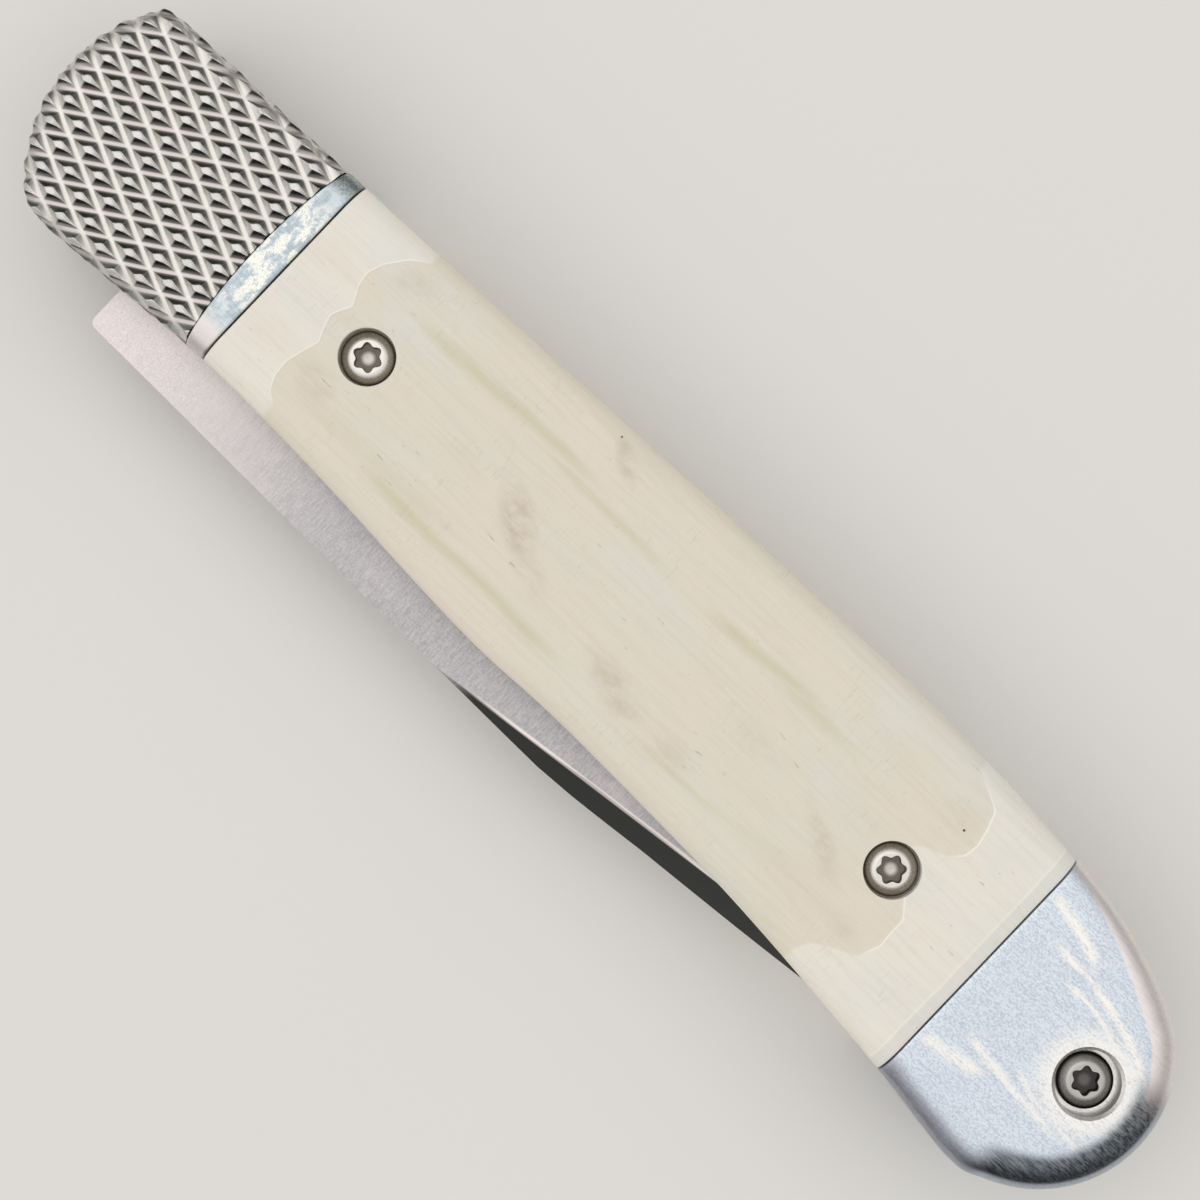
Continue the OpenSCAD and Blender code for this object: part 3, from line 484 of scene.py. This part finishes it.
def smoothLoop(points, spacing):
    before = points - np.roll(points, 1, 0)
    after = np.roll(points, -1, 0) - points
    d0 = np.linalg.norm(before, axis=1)[:, None]
    d1 = np.linalg.norm(after, axis=1)[:, None]
    slope = (before / d0 * d1 + after / d1 * d0) / (d0 + d1)
    made = []
    for k in range(len(points)):
        nextK = (k + 1) % len(points)
        t = np.linspace(0, 1, max(2, int(math.ceil(d1[k, 0] / spacing))), endpoint=False)[:, None]
        made.append((1 + 2 * t) * (1 - t) ** 2 * points[k] + t * (1 - t) ** 2 * d1[k, 0] * slope[k]
                    + t * t * (3 - 2 * t) * points[nextK] - t * t * (1 - t) * d1[k, 0] * slope[nextK])
    return np.concatenate(made)


outline = smoothLoop(outerLoop(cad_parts["liner_front"]), 0.03 * mm)
buttIndex = int(np.argmax(outline[:, 0]))
chains = [outline[:buttIndex + 1], np.concatenate([outline[buttIndex:], outline[:1]])[::-1]]
chains.sort(key=lambda c: c[:, 1].mean())
sideChain, backChain = chains


def onChain(x, chain):  # the outline's point at x on one side
    return np.stack([x, np.interp(x, chain[:, 0], chain[:, 1])], -1)


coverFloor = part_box("bone_scale_front")[0].z  # the covers stand on the liner
topZ = cadHigh.z
middleZ = (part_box("backspring")[0].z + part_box("backspring")[1].z) / 2
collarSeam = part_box("bone_scale_front")[0].x
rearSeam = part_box("bone_scale_front")[1].x
print("outline found:", len(outline), "points")


def addObject(name, data):
    made = bpy.data.objects.new(name, data)
    scene.collection.objects.link(made)
    return made


def makePiece(name, points, faces, finish, turned=False, merged=False):
    points = np.array(points, float)
    if turned:  # the back side mirrors the front about the blade's middle
        points[:, 2] = 2 * middleZ - points[:, 2]
    mesh = bpy.data.meshes.new(name)
    mesh.from_pydata(points.tolist(), [], faces)
    piece = addObject(name, mesh)
    shape = bmesh.new()
    shape.from_mesh(mesh)
    if merged:
        bmesh.ops.remove_doubles(shape, verts=shape.verts, dist=0.002 * mm)
    bmesh.ops.recalc_face_normals(shape, faces=shape.faces)
    shape.to_mesh(mesh)
    shape.free()
    mesh.materials.append(finishes[finish])
    return piece


def settle(piece):  # turns its modifiers into plain mesh
    graph = bpy.context.evaluated_depsgraph_get()
    mesh = bpy.data.meshes.new_from_object(piece.evaluated_get(graph))
    piece.modifiers.clear()
    piece.data = mesh
    return piece


def cutWith(piece, tools):
    for tool in tools:
        cut = piece.modifiers.new("cut", "BOOLEAN")
        cut.operation = "DIFFERENCE"
        cut.solver = "EXACT"
        cut.object = tool
    settle(piece)
    for tool in tools:
        bpy.data.objects.remove(tool)


def writeValues(piece, name, values):
    store = piece.data.attributes.new(name, "FLOAT", "POINT")
    store.data.foreach_set("value", np.asarray(values, np.float32))


def readPoints(piece):
    flat = np.zeros(len(piece.data.vertices) * 3, np.float32)
    piece.data.vertices.foreach_get("co", flat)
    return flat.reshape(-1, 3).astype(float)


def place(piece, angle, node):  # smooth up to an angle, and on the handle instead of its node
    piece.data.shade_smooth()
    piece.data.set_sharp_from_angle(angle=math.radians(angle))
    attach(piece, "handle")
    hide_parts(node)


def gridFaces(rows, wide):  # quads between rings of points, then the first ring's cap
    faces = []
    for j in range(rows - 1):
        for k in range(wide):
            a, b = j * wide + k, j * wide + (k + 1) % wide
            faces.append((a, b, b + wide, a + wide))
    return faces + [tuple(range(wide))]


def lathe(profile, turns):  # rows of radius, height and the reach of six lobes
    points = []
    for r, z, share in profile:
        for k in range(turns):
            angle = 2 * math.pi * k / turns
            reach = r * (1 + share * math.cos(6 * angle))
            points.append((reach * math.cos(angle), reach * math.sin(angle), z))
    rows = len(profile)
    last = tuple(reversed(range((rows - 1) * turns, rows * turns)))
    return np.array(points), gridFaces(rows, turns) + [last]


# Cover plates: a rounded-edge shell between two seams
cover = {"edgeWidth": 2.2 * mm, "edgeDepth": 1.3 * mm, "buttWidth": 3.4 * mm, "buttDepth": 1.9 * mm,
         "arcSteps": 12, "seamBevel": 0.07 * mm, "seamRadius": 42 * mm, "seamGap": 0.12 * mm, "seamRounds": 4,
         "buttCentre": (43, -1.18), "boreTurns": 64, "boneWide": 110, "steelWide": 24, "rearStep": 0.37,
         "noseFrom": 86, "noseSteps": 34, "collarSteps": 9, "smoothAngle": 35}
buttCentre = np.array(cover["buttCentre"]) * mm
buttEdge = outline[outline[:, 0] > buttCentre[0] - mm] - buttCentre
buttEdge = buttEdge[np.argsort(np.arctan2(buttEdge[:, 1], buttEdge[:, 0]))]


def buttPoint(turn):  # the outline's point at a turn about the butt's centre
    turns = np.arctan2(buttEdge[:, 1], buttEdge[:, 0])
    reach = np.interp(turn, turns, np.hypot(buttEdge[:, 0], buttEdge[:, 1]))
    return buttCentre + np.stack([np.cos(turn), np.sin(turn)], -1) * reach[..., None]


def ease(t):
    t = np.clip(t, 0, 1)
    return t * t * (3 - 2 * t)  # from 0 to 1 with level ends


def edgePoints(plan, angle):  # a point of the rounded edge over a point of the outline
    share = ease((plan[..., 0] - rearSeam) / (cadHigh.x - rearSeam))
    width = cover["edgeWidth"] + (cover["buttWidth"] - cover["edgeWidth"]) * share
    depth = cover["edgeDepth"] + (cover["buttDepth"] - cover["edgeDepth"]) * share
    aim = np.where(plan[..., :1] > buttCentre[0], buttCentre - plan, plan * (0, -1))
    aim = aim / np.linalg.norm(aim, axis=-1, keepdims=True)
    level = plan + aim * (width * (1 - np.cos(angle)))[..., None]
    spot = np.concatenate([level, (topZ - depth * (1 - np.sin(angle)))[..., None]], -1)
    outward = np.concatenate([-aim * np.cos(angle)[..., None], (np.sin(angle) + 0 * width)[..., None]], -1)
    return spot, outward


def coverShell(name, stations, across, finish, turned, frontSeam=None, noseTurns=None):
    bevel = cover["seamBevel"]
    arc = np.linspace(0, math.pi / 2, cover["arcSteps"] + 1)
    angles = np.concatenate([arc, np.full(across - 1, math.pi / 2), arc[::-1]])
    backShare = np.concatenate([np.ones(len(arc)), 1 - np.arange(1, across) / across, np.zeros(len(arc))])
    backShare = backShare[None, :, None]
    first, last = stations[0], stations[-1]
    ends = [(0.0, bevel), (bevel * 0.3, bevel * 0.3), (bevel, 0.0)]  # way in from the seam, and drop
    inner = [s for s in stations if first + bevel * 1.5 < s < last - bevel * 1.5]
    rows = [(first + way, drop) for way, drop in ends] + [(s, 0.0) for s in inner]
    rows += [(last, 0.0)] if noseTurns is not None else [(last - way, drop) for way, drop in reversed(ends)]
    drops = np.array([drop for _, drop in rows])
    shares = (np.array([s for s, _ in rows])[:, None] - first) / (last - first) + 0 * angles[None, :]
    x = first + shares * (last - first)
    for _ in range(cover["seamRounds"] if frontSeam else 1):
        backSpot, backOut = edgePoints(onChain(x, backChain), 0 * x + angles)
        sideSpot, sideOut = edgePoints(onChain(x, sideChain), 0 * x + angles)
        spot = backSpot * backShare + sideSpot * (1 - backShare)
        if frontSeam:
            x = frontSeam(spot[..., 1]) * (1 - shares) + last * shares
    spot = spot - (backOut * backShare + sideOut * (1 - backShare)) * drops[:, None, None]
    if noseTurns is not None:
        turns = noseTurns[:, None] + 0 * angles[None, :]
        backNose, sideNose = [edgePoints(buttPoint(t), 0 * turns + angles)[0] for t in (turns, -turns)]
        spot = np.concatenate([spot, backNose * backShare + sideNose * (1 - backShare)])
    low = spot[:, [0, -1]].copy()
    low[..., 2] = coverFloor
    spot = np.concatenate([low[:, :1], spot, low[:, 1:]], 1)
    count, wide = spot.shape[:2]
    faces = gridFaces(count, wide)
    if noseTurns is None:
        faces.append(tuple(range((count - 1) * wide, count * wide)))
    return makePiece(name, np.clip(spot.reshape(-1, 3), cadLow, cadHigh), faces, finish, turned, merged=True)


def nearestIn(line):  # a search tree over the points of a line
    tree = KDTree(len(line))
    for k, p in enumerate(line):
        tree.insert((p[0], p[1], 0), k)
    tree.balance()
    return tree


def screwPlaces(node):
    points = np.array([v.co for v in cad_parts[node].data.vertices])
    parts = [points[points[:, 0] < 0], points[points[:, 0] >= 0]]
    return [(part.min(0) + part.max(0))[:2] / 2 for part in parts if len(part)]


outlineTree = nearestIn(outline)
scalePlaces = screwPlaces("scale_screws_front")
buttPlaces = screwPlaces("butt_screw_front")


def boreTool(spot, kind, turned):  # what a screw's bore takes out of its cover
    radius, chamfer = screws[kind + "Head"] + screws[kind + "Gap"], screws[kind + "Chamfer"]
    low = topZ - screws[kind + "Sink"] - screws["height"]
    profile = [(radius, low, 0), (radius, topZ + mm, 0)]
    if chamfer:
        profile = [(radius, low, 0), (radius, topZ - chamfer, 0), (radius + 2 * chamfer, topZ + chamfer, 0)]
    points, faces = lathe(profile, cover["boreTurns"])
    return makePiece("boreTool", points + (*spot, 0), faces, "pin", turned)


def rimDistance(points, rim, sign):  # in mm, positive towards the island
    rim = np.array(rim)[::-1]
    ys = np.linspace(rim[0, 1], rim[-1, 1], bone["rimSteps"])
    xs = np.interp(ys, rim[:, 1], rim[:, 0])
    half = bone["rimSoft"] // 2
    xs[half:-half] = np.convolve(xs, np.ones(bone["rimSoft"]) / bone["rimSoft"], "valid")
    lean = np.interp(points[:, 1], ys, np.gradient(xs, ys))
    return sign * (points[:, 0] - np.interp(points[:, 1], ys, xs)) / np.sqrt(1 + lean ** 2)


def lipShare(y, spans):  # how strongly the lip stands up along a rim
    return np.max([share * ease((y - low) / rise) * ease((high - y) / fall)
                   for low, rise, high, fall, share in spans], axis=0)


collarLow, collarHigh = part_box("collar_front")
seamMiddle = (onChain(collarLow.x, backChain) + onChain(collarLow.x, sideChain)) / 2
seamCentre = seamMiddle + (cover["seamRadius"], 0)


def collarFront(y):  # the collar's curved seam
    return seamCentre[0] - np.sqrt(cover["seamRadius"] ** 2 - (y - seamCentre[1]) ** 2)


sides = (("Front", False), ("Back", True))
for side, turned in sides:
    node = side.lower()
    runs = [np.arange(*run) for run in bone["stations"]]
    stations = np.concatenate([[collarSeam / mm], *runs, [rearSeam / mm]]) * mm
    finish = "boneTurned" if turned else "bone"
    scale = coverShell("boneScale" + side, stations, cover["boneWide"], finish, turned)
    cutWith(scale, [boreTool(p, "scale", turned) for p in scalePlaces])
    points = readPoints(scale)
    flat = points / mm
    if turned:
        flat[:, 0] = bone["turnedShift"][0] - flat[:, 0]
        flat[:, 1] += bone["turnedShift"][1]
    left = rimDistance(flat, bone["leftRim"], 1)
    right = rimDistance(flat, bone["rightRim"], -1)
    rim = np.minimum(left, right)
    lipLeft, lipRight = [lipShare(flat[:, 1], bone[key]) for key in ("lipLeft", "lipRight")]
    lip = np.where(left < right, lipLeft, lipRight)
    onTop = abs(points[:, 2] - middleZ) > topZ - middleZ - 1.0 * mm
    raised = bone["lipHeight"] * (lip * np.exp(-(rim / bone["lipWidth"]) ** 2) - 1)
    drop = bone["step"] * ease(rim / bone["stepWidth"] + 0.5) - raised
    points[:, 2] += onTop * drop * mm * (1 if turned else -1)
    scale.data.vertices.foreach_set("co", points.astype(np.float32).ravel())
    writeValues(scale, "rim", rim)
    writeValues(scale, "lip", lip)
    place(scale, cover["smoothAngle"], "bone_scale_" + node)

    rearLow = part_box("rear_bolster_front")[0].x
    stations = np.arange(rearLow / mm, buttCentre[0] / mm + 0.01, cover["rearStep"]) * mm
    stations[-1] = buttCentre[0]
    rear = coverShell("rearBolster" + side, stations, cover["steelWide"], "bolster", turned,
                      noseTurns=np.radians(np.linspace(cover["noseFrom"], 0, cover["noseSteps"])))
    cutWith(rear, [boreTool(p, "butt", turned) for p in buttPlaces])
    writeValues(rear, "inset", [outlineTree.find((p[0], p[1], 0))[2] / mm for p in readPoints(rear)])
    place(rear, cover["smoothAngle"], "rear_bolster_" + node)

    stations = np.linspace(collarLow.x, collarHigh.x, cover["collarSteps"])
    collar = coverShell("collar" + side, stations, cover["steelWide"], "collar", turned, collarFront)
    place(collar, cover["smoothAngle"], "collar_" + node)
print("covers made")


# Knurled bolsters: a flat lattice folded over the rounded edges, then grooved along its normals
knurl = {"pitch": 3.42 * mm, "rowWidth": 1.915 * mm, "climb": 0.34 * mm, "depth": 0.4 * mm, "topCut": 0.72,
         "grooveFloor": 0.08, "cellSteps": 24, "tipBack": 4.43 * mm, "tipUp": 2.56 * mm, "sideShare": 0.4,
         "cells": 14, "blankPast": 4 * mm, "latticePast": 1.5 * mm, "arcSteps": 200, "seamSteps": 600,
         "smoothAngle": 80}


def newTree(name, sockets):  # a node group that takes a geometry and named values
    tree = bpy.data.node_groups.new(name, "GeometryNodeTree")
    for label, kind in [("Geometry", "Geometry")] + sockets:
        tree.interface.new_socket(label, in_out="INPUT", socket_type="NodeSocket" + kind)
    tree.interface.new_socket("Geometry", in_out="OUTPUT", socket_type="NodeSocketGeometry")
    given = tree.nodes.new("NodeGroupInput")
    return tree, [Wire(tree, s) for s in given.outputs][:len(sockets) + 1]


def endTree(tree, shape, finish):  # what was made leaves as real mesh in its material
    real = shape.node("GeometryNodeRealizeInstances", None, {"Geometry": shape})
    dressed = real.node("GeometryNodeSetMaterial", None, {"Geometry": real, "Material": finish})
    tree.links.new(dressed.socket, tree.nodes.new("NodeGroupOutput").inputs[0])
    return tree


def addNodes(piece, name, tree, values):
    modifier = piece.modifiers.new(name, "NODES")
    modifier.node_group = tree
    for item in tree.interface.items_tree:
        if item.in_out == "INPUT" and item.name in values:
            modifier[item.identifier] = values[item.name]


def knurlTree():
    tree, (blank, depth, floor, cut, finish) = newTree("knurling", [
        ("Depth", "Float"), ("Groove Floor", "Float"), ("Top Cut", "Float"), ("Material", "Material")])
    along, across, fade = [
        blank.node("GeometryNodeInputNamedAttribute", {"data_type": "FLOAT"}, {"Name": name})
        for name in ("along", "across", "fade")]
    m, n, long, chance, inside = cellOf(along, across)[:5]
    pyramid = (0.5 - abs(m).most(abs(n)) - floor).most(0) / ((0.5 - floor) * cut)
    crest = 1 + chance * 0.1 - ((long - 0.1).most(0) / 0.65) ** 1.25
    height = pyramid.least(1 + chance * 0.1).most(crest + inside.least(0) * 3.5)
    normal = blank.node("GeometryNodeInputNormal")
    push = normal.node("ShaderNodeVectorMath", {"operation": "SCALE"},
                       {0: normal, "Scale": (height - 1) * depth * fade})
    grooved = blank.node("GeometryNodeSetPosition", None, {"Geometry": blank, "Offset": push})
    return endTree(tree, grooved, finish)


def foldedEdge():  # the outline of the bolster with its inward directions
    edge = outline[outline[:, 0] < collarSeam + knurl["blankPast"]]
    gap = int(np.argmax(np.linalg.norm(np.roll(edge, -1, 0) - edge, axis=1)))
    edge = np.roll(edge, -gap - 1, 0)
    loop = np.concatenate([edge, np.linspace(edge[-1], edge[0], knurl["seamSteps"])[1:-1]])
    slope = np.roll(loop, -1, 0) - np.roll(loop, 1, 0)
    slope /= np.linalg.norm(slope, axis=1)[:, None]
    inward = np.stack([-slope[:, 1], slope[:, 0]], 1)
    inward *= np.sign(((loop.mean(0) - loop) * inward).sum(1))[:, None]
    return loop, inward


def knurlBlank():
    loop, inward = foldedEdge()
    tree = nearestIn(loop)
    width, depth = cover["edgeWidth"], cover["edgeDepth"]
    phi = np.linspace(0, math.pi / 2, knurl["arcSteps"])
    pieces = np.hypot(np.diff(width * np.sin(phi)), np.diff(depth * np.cos(phi)))
    run = np.concatenate([[0], np.cumsum(pieces)])  # length along the rounded edge at each turn
    reach = run[-1] + topZ - depth - coverFloor
    tip = np.array([collarLow.x - knurl["tipBack"], seamCentre[1] + knurl["tipUp"]])
    a = np.array([knurl["pitch"], knurl["climb"] + knurl["rowWidth"]]) / 2
    b = np.array([knurl["pitch"], knurl["climb"] - knurl["rowWidth"]]) / 2
    steps = knurl["cellSteps"]
    span = np.arange(-knurl["cells"] * steps, knurl["cells"] * steps + 1)
    m, n = np.meshgrid(span / steps, span / steps, indexing="ij")
    flat = tip + m[..., None] * a + n[..., None] * b
    low, high = loop.min(0) - reach, loop.max(0) + reach
    near = ((flat > low) & (flat < high)).all(-1) & (flat[..., 0] < collarSeam + knurl["latticePast"])
    past = np.full(m.shape, np.inf)
    spot = np.zeros(m.shape + (3,))
    for i, j in zip(*np.nonzero(near)):
        p = flat[i, j]
        k = tree.find((p[0], p[1], 0))[1]
        inside = float((p - loop[k]) @ inward[k])
        past[i, j] = beyond = width - inside
        if beyond <= 0:
            spot[i, j] = (p[0], p[1], topZ)
            continue
        held = min(beyond, reach)
        turn = float(np.interp(held, run, phi))
        fall = depth * (1 - math.cos(turn)) + max(held - run[-1], 0)
        foot = p + inward[k] * beyond if inside > 0 else loop[k] + inward[k] * width
        q = foot - inward[k] * width * math.sin(turn)
        spot[i, j] = (q[0], q[1], topZ - fall)
    fade = 1 - (1 - knurl["sideShare"]) * ease(past / run[-1])
    number = np.arange(m.size).reshape(m.shape)
    corners = np.stack([number[:-1, :-1], number[1:, :-1], number[1:, 1:], number[:-1, 1:]], -1)
    middle = [(g[:-1, :-1] + 0.5 / steps + 0.5) % 1 - 0.5 for g in (m, n)]
    split = (middle[0] * middle[1] > 0)[..., None]  # each quad is folded along its cell's diagonal
    first = np.where(split, corners[..., [0, 1, 2]], corners[..., [0, 1, 3]])
    second = np.where(split, corners[..., [0, 2, 3]], corners[..., [1, 2, 3]])
    faces = np.concatenate([first.reshape(-1, 3), second.reshape(-1, 3)])
    reached = past.ravel()[faces]
    faces = faces[(reached < reach).any(1) & np.isfinite(reached).all(1)]
    values = np.stack([m.ravel(), n.ravel(), fade.ravel()], 1)
    return spot.reshape(-1, 3), values, faces


def cutAtSeam(points, values, faces):  # keeps what lies in front of the collar's seam
    radius = cover["seamRadius"] + cover["seamGap"]
    room = np.linalg.norm(points[:, :2] - seamCentre, axis=1) - radius
    ahead = (room[faces] > 0).sum(1)
    points, values, kept = list(points), list(values), faces[ahead == 3].tolist()
    made = {}

    def crossing(i, j):
        key = (min(i, j), max(i, j))
        if key not in made:
            share = room[key[0]] / (room[key[0]] - room[key[1]])
            made[key] = len(points)
            points.append(points[key[0]] * (1 - share) + points[key[1]] * share)
            values.append(values[key[0]] * (1 - share) + values[key[1]] * share)
        return made[key]

    for face in faces[(ahead == 1) | (ahead == 2)].tolist():
        ring = []
        for i, j in zip(face, face[1:] + face[:1]):
            if room[i] > 0:
                ring.append(i)
            if (room[i] > 0) != (room[j] > 0):
                ring.append(crossing(i, j))
        kept += [[ring[0], *ring[k:k + 2]] for k in range(1, len(ring) - 1)]
    used = np.unique(np.array(kept))
    number = np.full(len(points), -1)
    number[used] = np.arange(len(used))
    return np.array(points)[used], np.array(values)[used], number[np.array(kept)].tolist()


def closeBelow(piece, floorZ):  # walls down from the seam, and a fan under them
    shape = bmesh.new()
    shape.from_mesh(piece.data)
    bmesh.ops.remove_doubles(shape, verts=shape.verts, dist=0.0005 * mm)
    onFloor = {v for v in shape.verts if abs(v.co.z - floorZ) < 0.001 * mm}
    high = [e for e in shape.edges if e.is_boundary and not onFloor.issuperset(e.verts)]
    grown = bmesh.ops.extrude_edge_only(shape, edges=high)["geom"]
    feet = {v for v in grown if isinstance(v, bmesh.types.BMVert)}
    above = {foot: next(v for e in foot.link_edges for v in e.verts if v not in feet) for foot in feet}
    for foot in feet:
        foot.co.z = floorZ
    bmesh.ops.weld_verts(shape, targetmap={foot: top for foot, top in above.items() if top in onFloor})
    rim = [e for e in shape.edges if e.is_boundary]
    hub = shape.verts.new(sum((v.co for e in rim for v in e.verts), Vector()) / (2 * len(rim)))
    for e in rim:
        shape.faces.new((e.verts[0], e.verts[1], hub))
    bmesh.ops.triangulate(shape, faces=[f for f in shape.faces if len(f.verts) > 3])
    bmesh.ops.recalc_face_normals(shape, faces=shape.faces)
    shape.to_mesh(piece.data)
    shape.free()


blankPoints, blankValues, blankFaces = cutAtSeam(*knurlBlank())
grooveTree = knurlTree()
print("knurl blank:", len(blankPoints), "points")

for side, turned in sides:
    blank = makePiece("knurlBlank", blankPoints, blankFaces, "knurl", turned)
    for k, name in enumerate(("along", "across", "fade")):
        writeValues(blank, name, blankValues[:, k])
    addNodes(blank, "grooves", grooveTree, {"Depth": knurl["depth"], "Groove Floor": knurl["grooveFloor"],
                                            "Top Cut": knurl["topCut"], "Material": finishes["knurl"]})
    points = readPoints(settle(blank))
    bpy.data.objects.remove(blank)
    bolster = makePiece("knurledBolster" + side, np.clip(points, cadLow, cadHigh), blankFaces, "knurl")
    for k, name in enumerate(("along", "across")):
        writeValues(bolster, name, blankValues[:, k])
    closeBelow(bolster, 2 * middleZ - coverFloor if turned else coverFloor)
    place(bolster, knurl["smoothAngle"], "knurled_bolster_" + side.lower())
    print("knurled bolster", side, len(bolster.data.polygons), "faces")


# Screws: one head with a six-lobed recess, set on points by nodes
def screwHead(radius, finish):
    h, dome = screws["height"], screws["dome"]
    ball = (radius ** 2 + dome ** 2) / (2 * dome)
    flat = screws["land"]
    level = h - (ball - math.sqrt(ball ** 2 - flat ** 2))
    profile = [(radius - 0.05 * mm, 0, 0), (radius, 0.05 * mm, 0)]
    for k in range(screws["domeSteps"] + 1):
        r = radius + (flat - radius) * k / screws["domeSteps"]
        profile.append((r, h - (ball - math.sqrt(ball ** 2 - r ** 2)), 0))
    drive, deep, star = screws["drive"], screws["driveDepth"], screws["star"]
    profile += [((flat + drive) / 2 + 0.04 * mm, level + 0.01 * mm, star * 0.3),
                (drive + 0.05 * mm, level, star), (drive, level - 0.05 * mm, star),
                (drive - 0.02 * mm, level - deep * 0.55, star),
                (drive - 0.03 * mm, level - deep, star), (drive * 0.6, level - deep - 0.03 * mm, star * 0.3),
                (0.12 * mm, level - deep - 0.12 * mm, 0)]
    points, faces = lathe(profile, screws["turns"])
    head = makePiece("screwHead", points, faces, finish)
    points = readPoints(head) / mm
    ring = np.hypot(points[:, 0], points[:, 1])
    writeValues(head, "ring", ring)
    writeValues(head, "sunk", (level / mm - points[:, 2]) * (ring < flat / mm - 0.01))
    return head


def screwTree():
    tree, (points, screw, seed, finish) = newTree("screwsOnPoints", [
        ("Screw", "Object"), ("Turn Seed", "Int"), ("Material", "Material")])
    shape = screw.node("GeometryNodeObjectInfo", None, {"Object": screw}, "Geometry")
    turn = seed.node("FunctionNodeRandomValue", {"data_type": "FLOAT"}, {"Max": 6.28, "Seed": seed}, 1)
    spin = turn.node("ShaderNodeCombineXYZ", None, {"Z": turn})
    placed = points.node("GeometryNodeInstanceOnPoints", None,
                         {"Points": points, "Instance": shape, "Rotation": spin})
    return endTree(tree, placed, finish)


pointTree = screwTree()
screwSets = [("scaleScrews", "scale", scalePlaces, "screw", "screw_steel", "scale_screws_", 4),
             ("buttScrew", "butt", buttPlaces, "buttScrew", "butt_screw_steel", "butt_screw_", 9)]
for kind, size, places, finish, slot, node, seed in screwSets:
    head = screwHead(screws[size + "Head"], finish)
    foot = topZ - screws[size + "Sink"] - screws["height"]
    for side, turned in sides:
        group = makePiece(kind + side, [(p[0], p[1], foot) for p in places], [], finish)
        addNodes(group, "setOn", pointTree, {"Screw": head, "Turn Seed": seed, "Material": finishes[finish]})
        settle(group)
        if turned:
            group.data.transform(Matrix.Translation((0, 0, 2 * middleZ)) @ Matrix.Scale(-1, 4, (0, 0, 1)))
            group.data.flip_normals()
        place(group, screws["smoothAngle"], node + side.lower())
    bpy.data.objects.remove(head)
print("screws set")

# Pieces that keep their own shape take a finish
kept = {"backspring": "spring", "blade": "blade", "pivot_pin": "pin", "spring_pin": "pin",
        "butt_barrel": "pin"}
for pair, finish in (("liner", "liner"), ("pivot_washer", "bronze"), ("bolster_screws", "pin"),
                     ("collar_pins", "pin"), ("rear_bolster_pins", "pin")):
    kept[pair + "_front"] = kept[pair + "_back"] = finish
for name, finish in kept.items():
    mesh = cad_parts[name].data
    mesh.materials.clear()
    mesh.materials.append(finishes[finish])
print("frame nodes dressed:", len(kept))


# Floor, light and camera
studio = {"paper": "#e9e7e3", "paperDark": "#e2e0dc", "reach": 2, "rough": 0.9, "sensor": 36, "view": 28.8,
          "above": 172 * mm, "lookX": -0.486 * mm, "lookY": 0.479 * mm, "skyColour": (1, 0.99, 0.98, 1),
          "zenith": 0.92, "left": 0.8, "right": 0.35, "top": 0.15, "dim": 0.13, "backdrop": 0.72,
          "lampSpot": (-0.25, 0.1, 0.8), "lampSize": 0.6, "lampWatts": 0.3, "lampColour": (1, 0.99, 0.97)}
pictureRight, pictureUp = Vector((0.724, 0.690, 0)).normalized(), Vector((-0.690, 0.724, 0)).normalized()
floorMesh = bpy.data.meshes.new("floor")
far = studio["reach"]
floorMesh.from_pydata([(-far, -far, 0), (far, -far, 0), (far, far, 0), (-far, far, 0)], [], [(0, 1, 2, 3)])
floor = addObject("floor", floorMesh)
paper, milli, look = newFinish("paper", studio)
blotch = milli.noise((0.02, 0.02, 0.02), 2) * 0.2
dress(paper, look, blotch.blend(look["paper"], look["paperDark"]), 0, sockets={})
floorMesh.materials.append(paper)

world = bpy.data.worlds.new("studio")
scene.world = world
world.use_nodes = True
sky = Wire(world.node_tree)
ax, ay, az = sky.node("ShaderNodeTexCoord", out=0).axes()
rightward = ax * pictureRight.x + ay * pictureRight.y
upward = ax * pictureUp.x + ay * pictureUp.y
left, right, top = (rightward * -1).most(0), rightward.most(0), upward.most(0)
glow = (left * left * studio["left"] + right * right * studio["right"] + top * top * studio["top"]
        + az.step(0.3, 0.9) * studio["zenith"] + studio["dim"])
seen = sky.node("ShaderNodeLightPath")  # past the floor's edge the camera sees a pale backdrop
glow = glow * (1 - seen) + seen * studio["backdrop"]
background = world.node_tree.nodes["Background"]
world.node_tree.links.new(glow.socket, background.inputs["Strength"])
background.inputs["Color"].default_value = studio["skyColour"]

lamp = bpy.data.lights.new("overhead", "AREA")
lamp.size, lamp.energy, lamp.color = studio["lampSize"], studio["lampWatts"], studio["lampColour"]
stand = addObject("overhead", lamp)
stand.location = studio["lampSpot"]
stand.rotation_euler = (-stand.location).to_track_quat("-Z", "Y").to_euler()
stand.visible_camera = False

lens = bpy.data.cameras.new("camera")
lens.sensor_width = studio["sensor"]
lens.lens = studio["sensor"] / 2 / math.tan(math.radians(studio["view"] / 2))
lens.clip_start = 0.01
camera = addObject("camera", lens)
turn = Matrix((pictureRight, pictureUp, Vector((0, 0, 1)))).transposed().to_4x4()
camera.matrix_world = Matrix.Translation((studio["lookX"], studio["lookY"], studio["above"])) @ turn
scene.camera = camera
scene.view_settings.view_transform = "Standard"
print("studio ready")
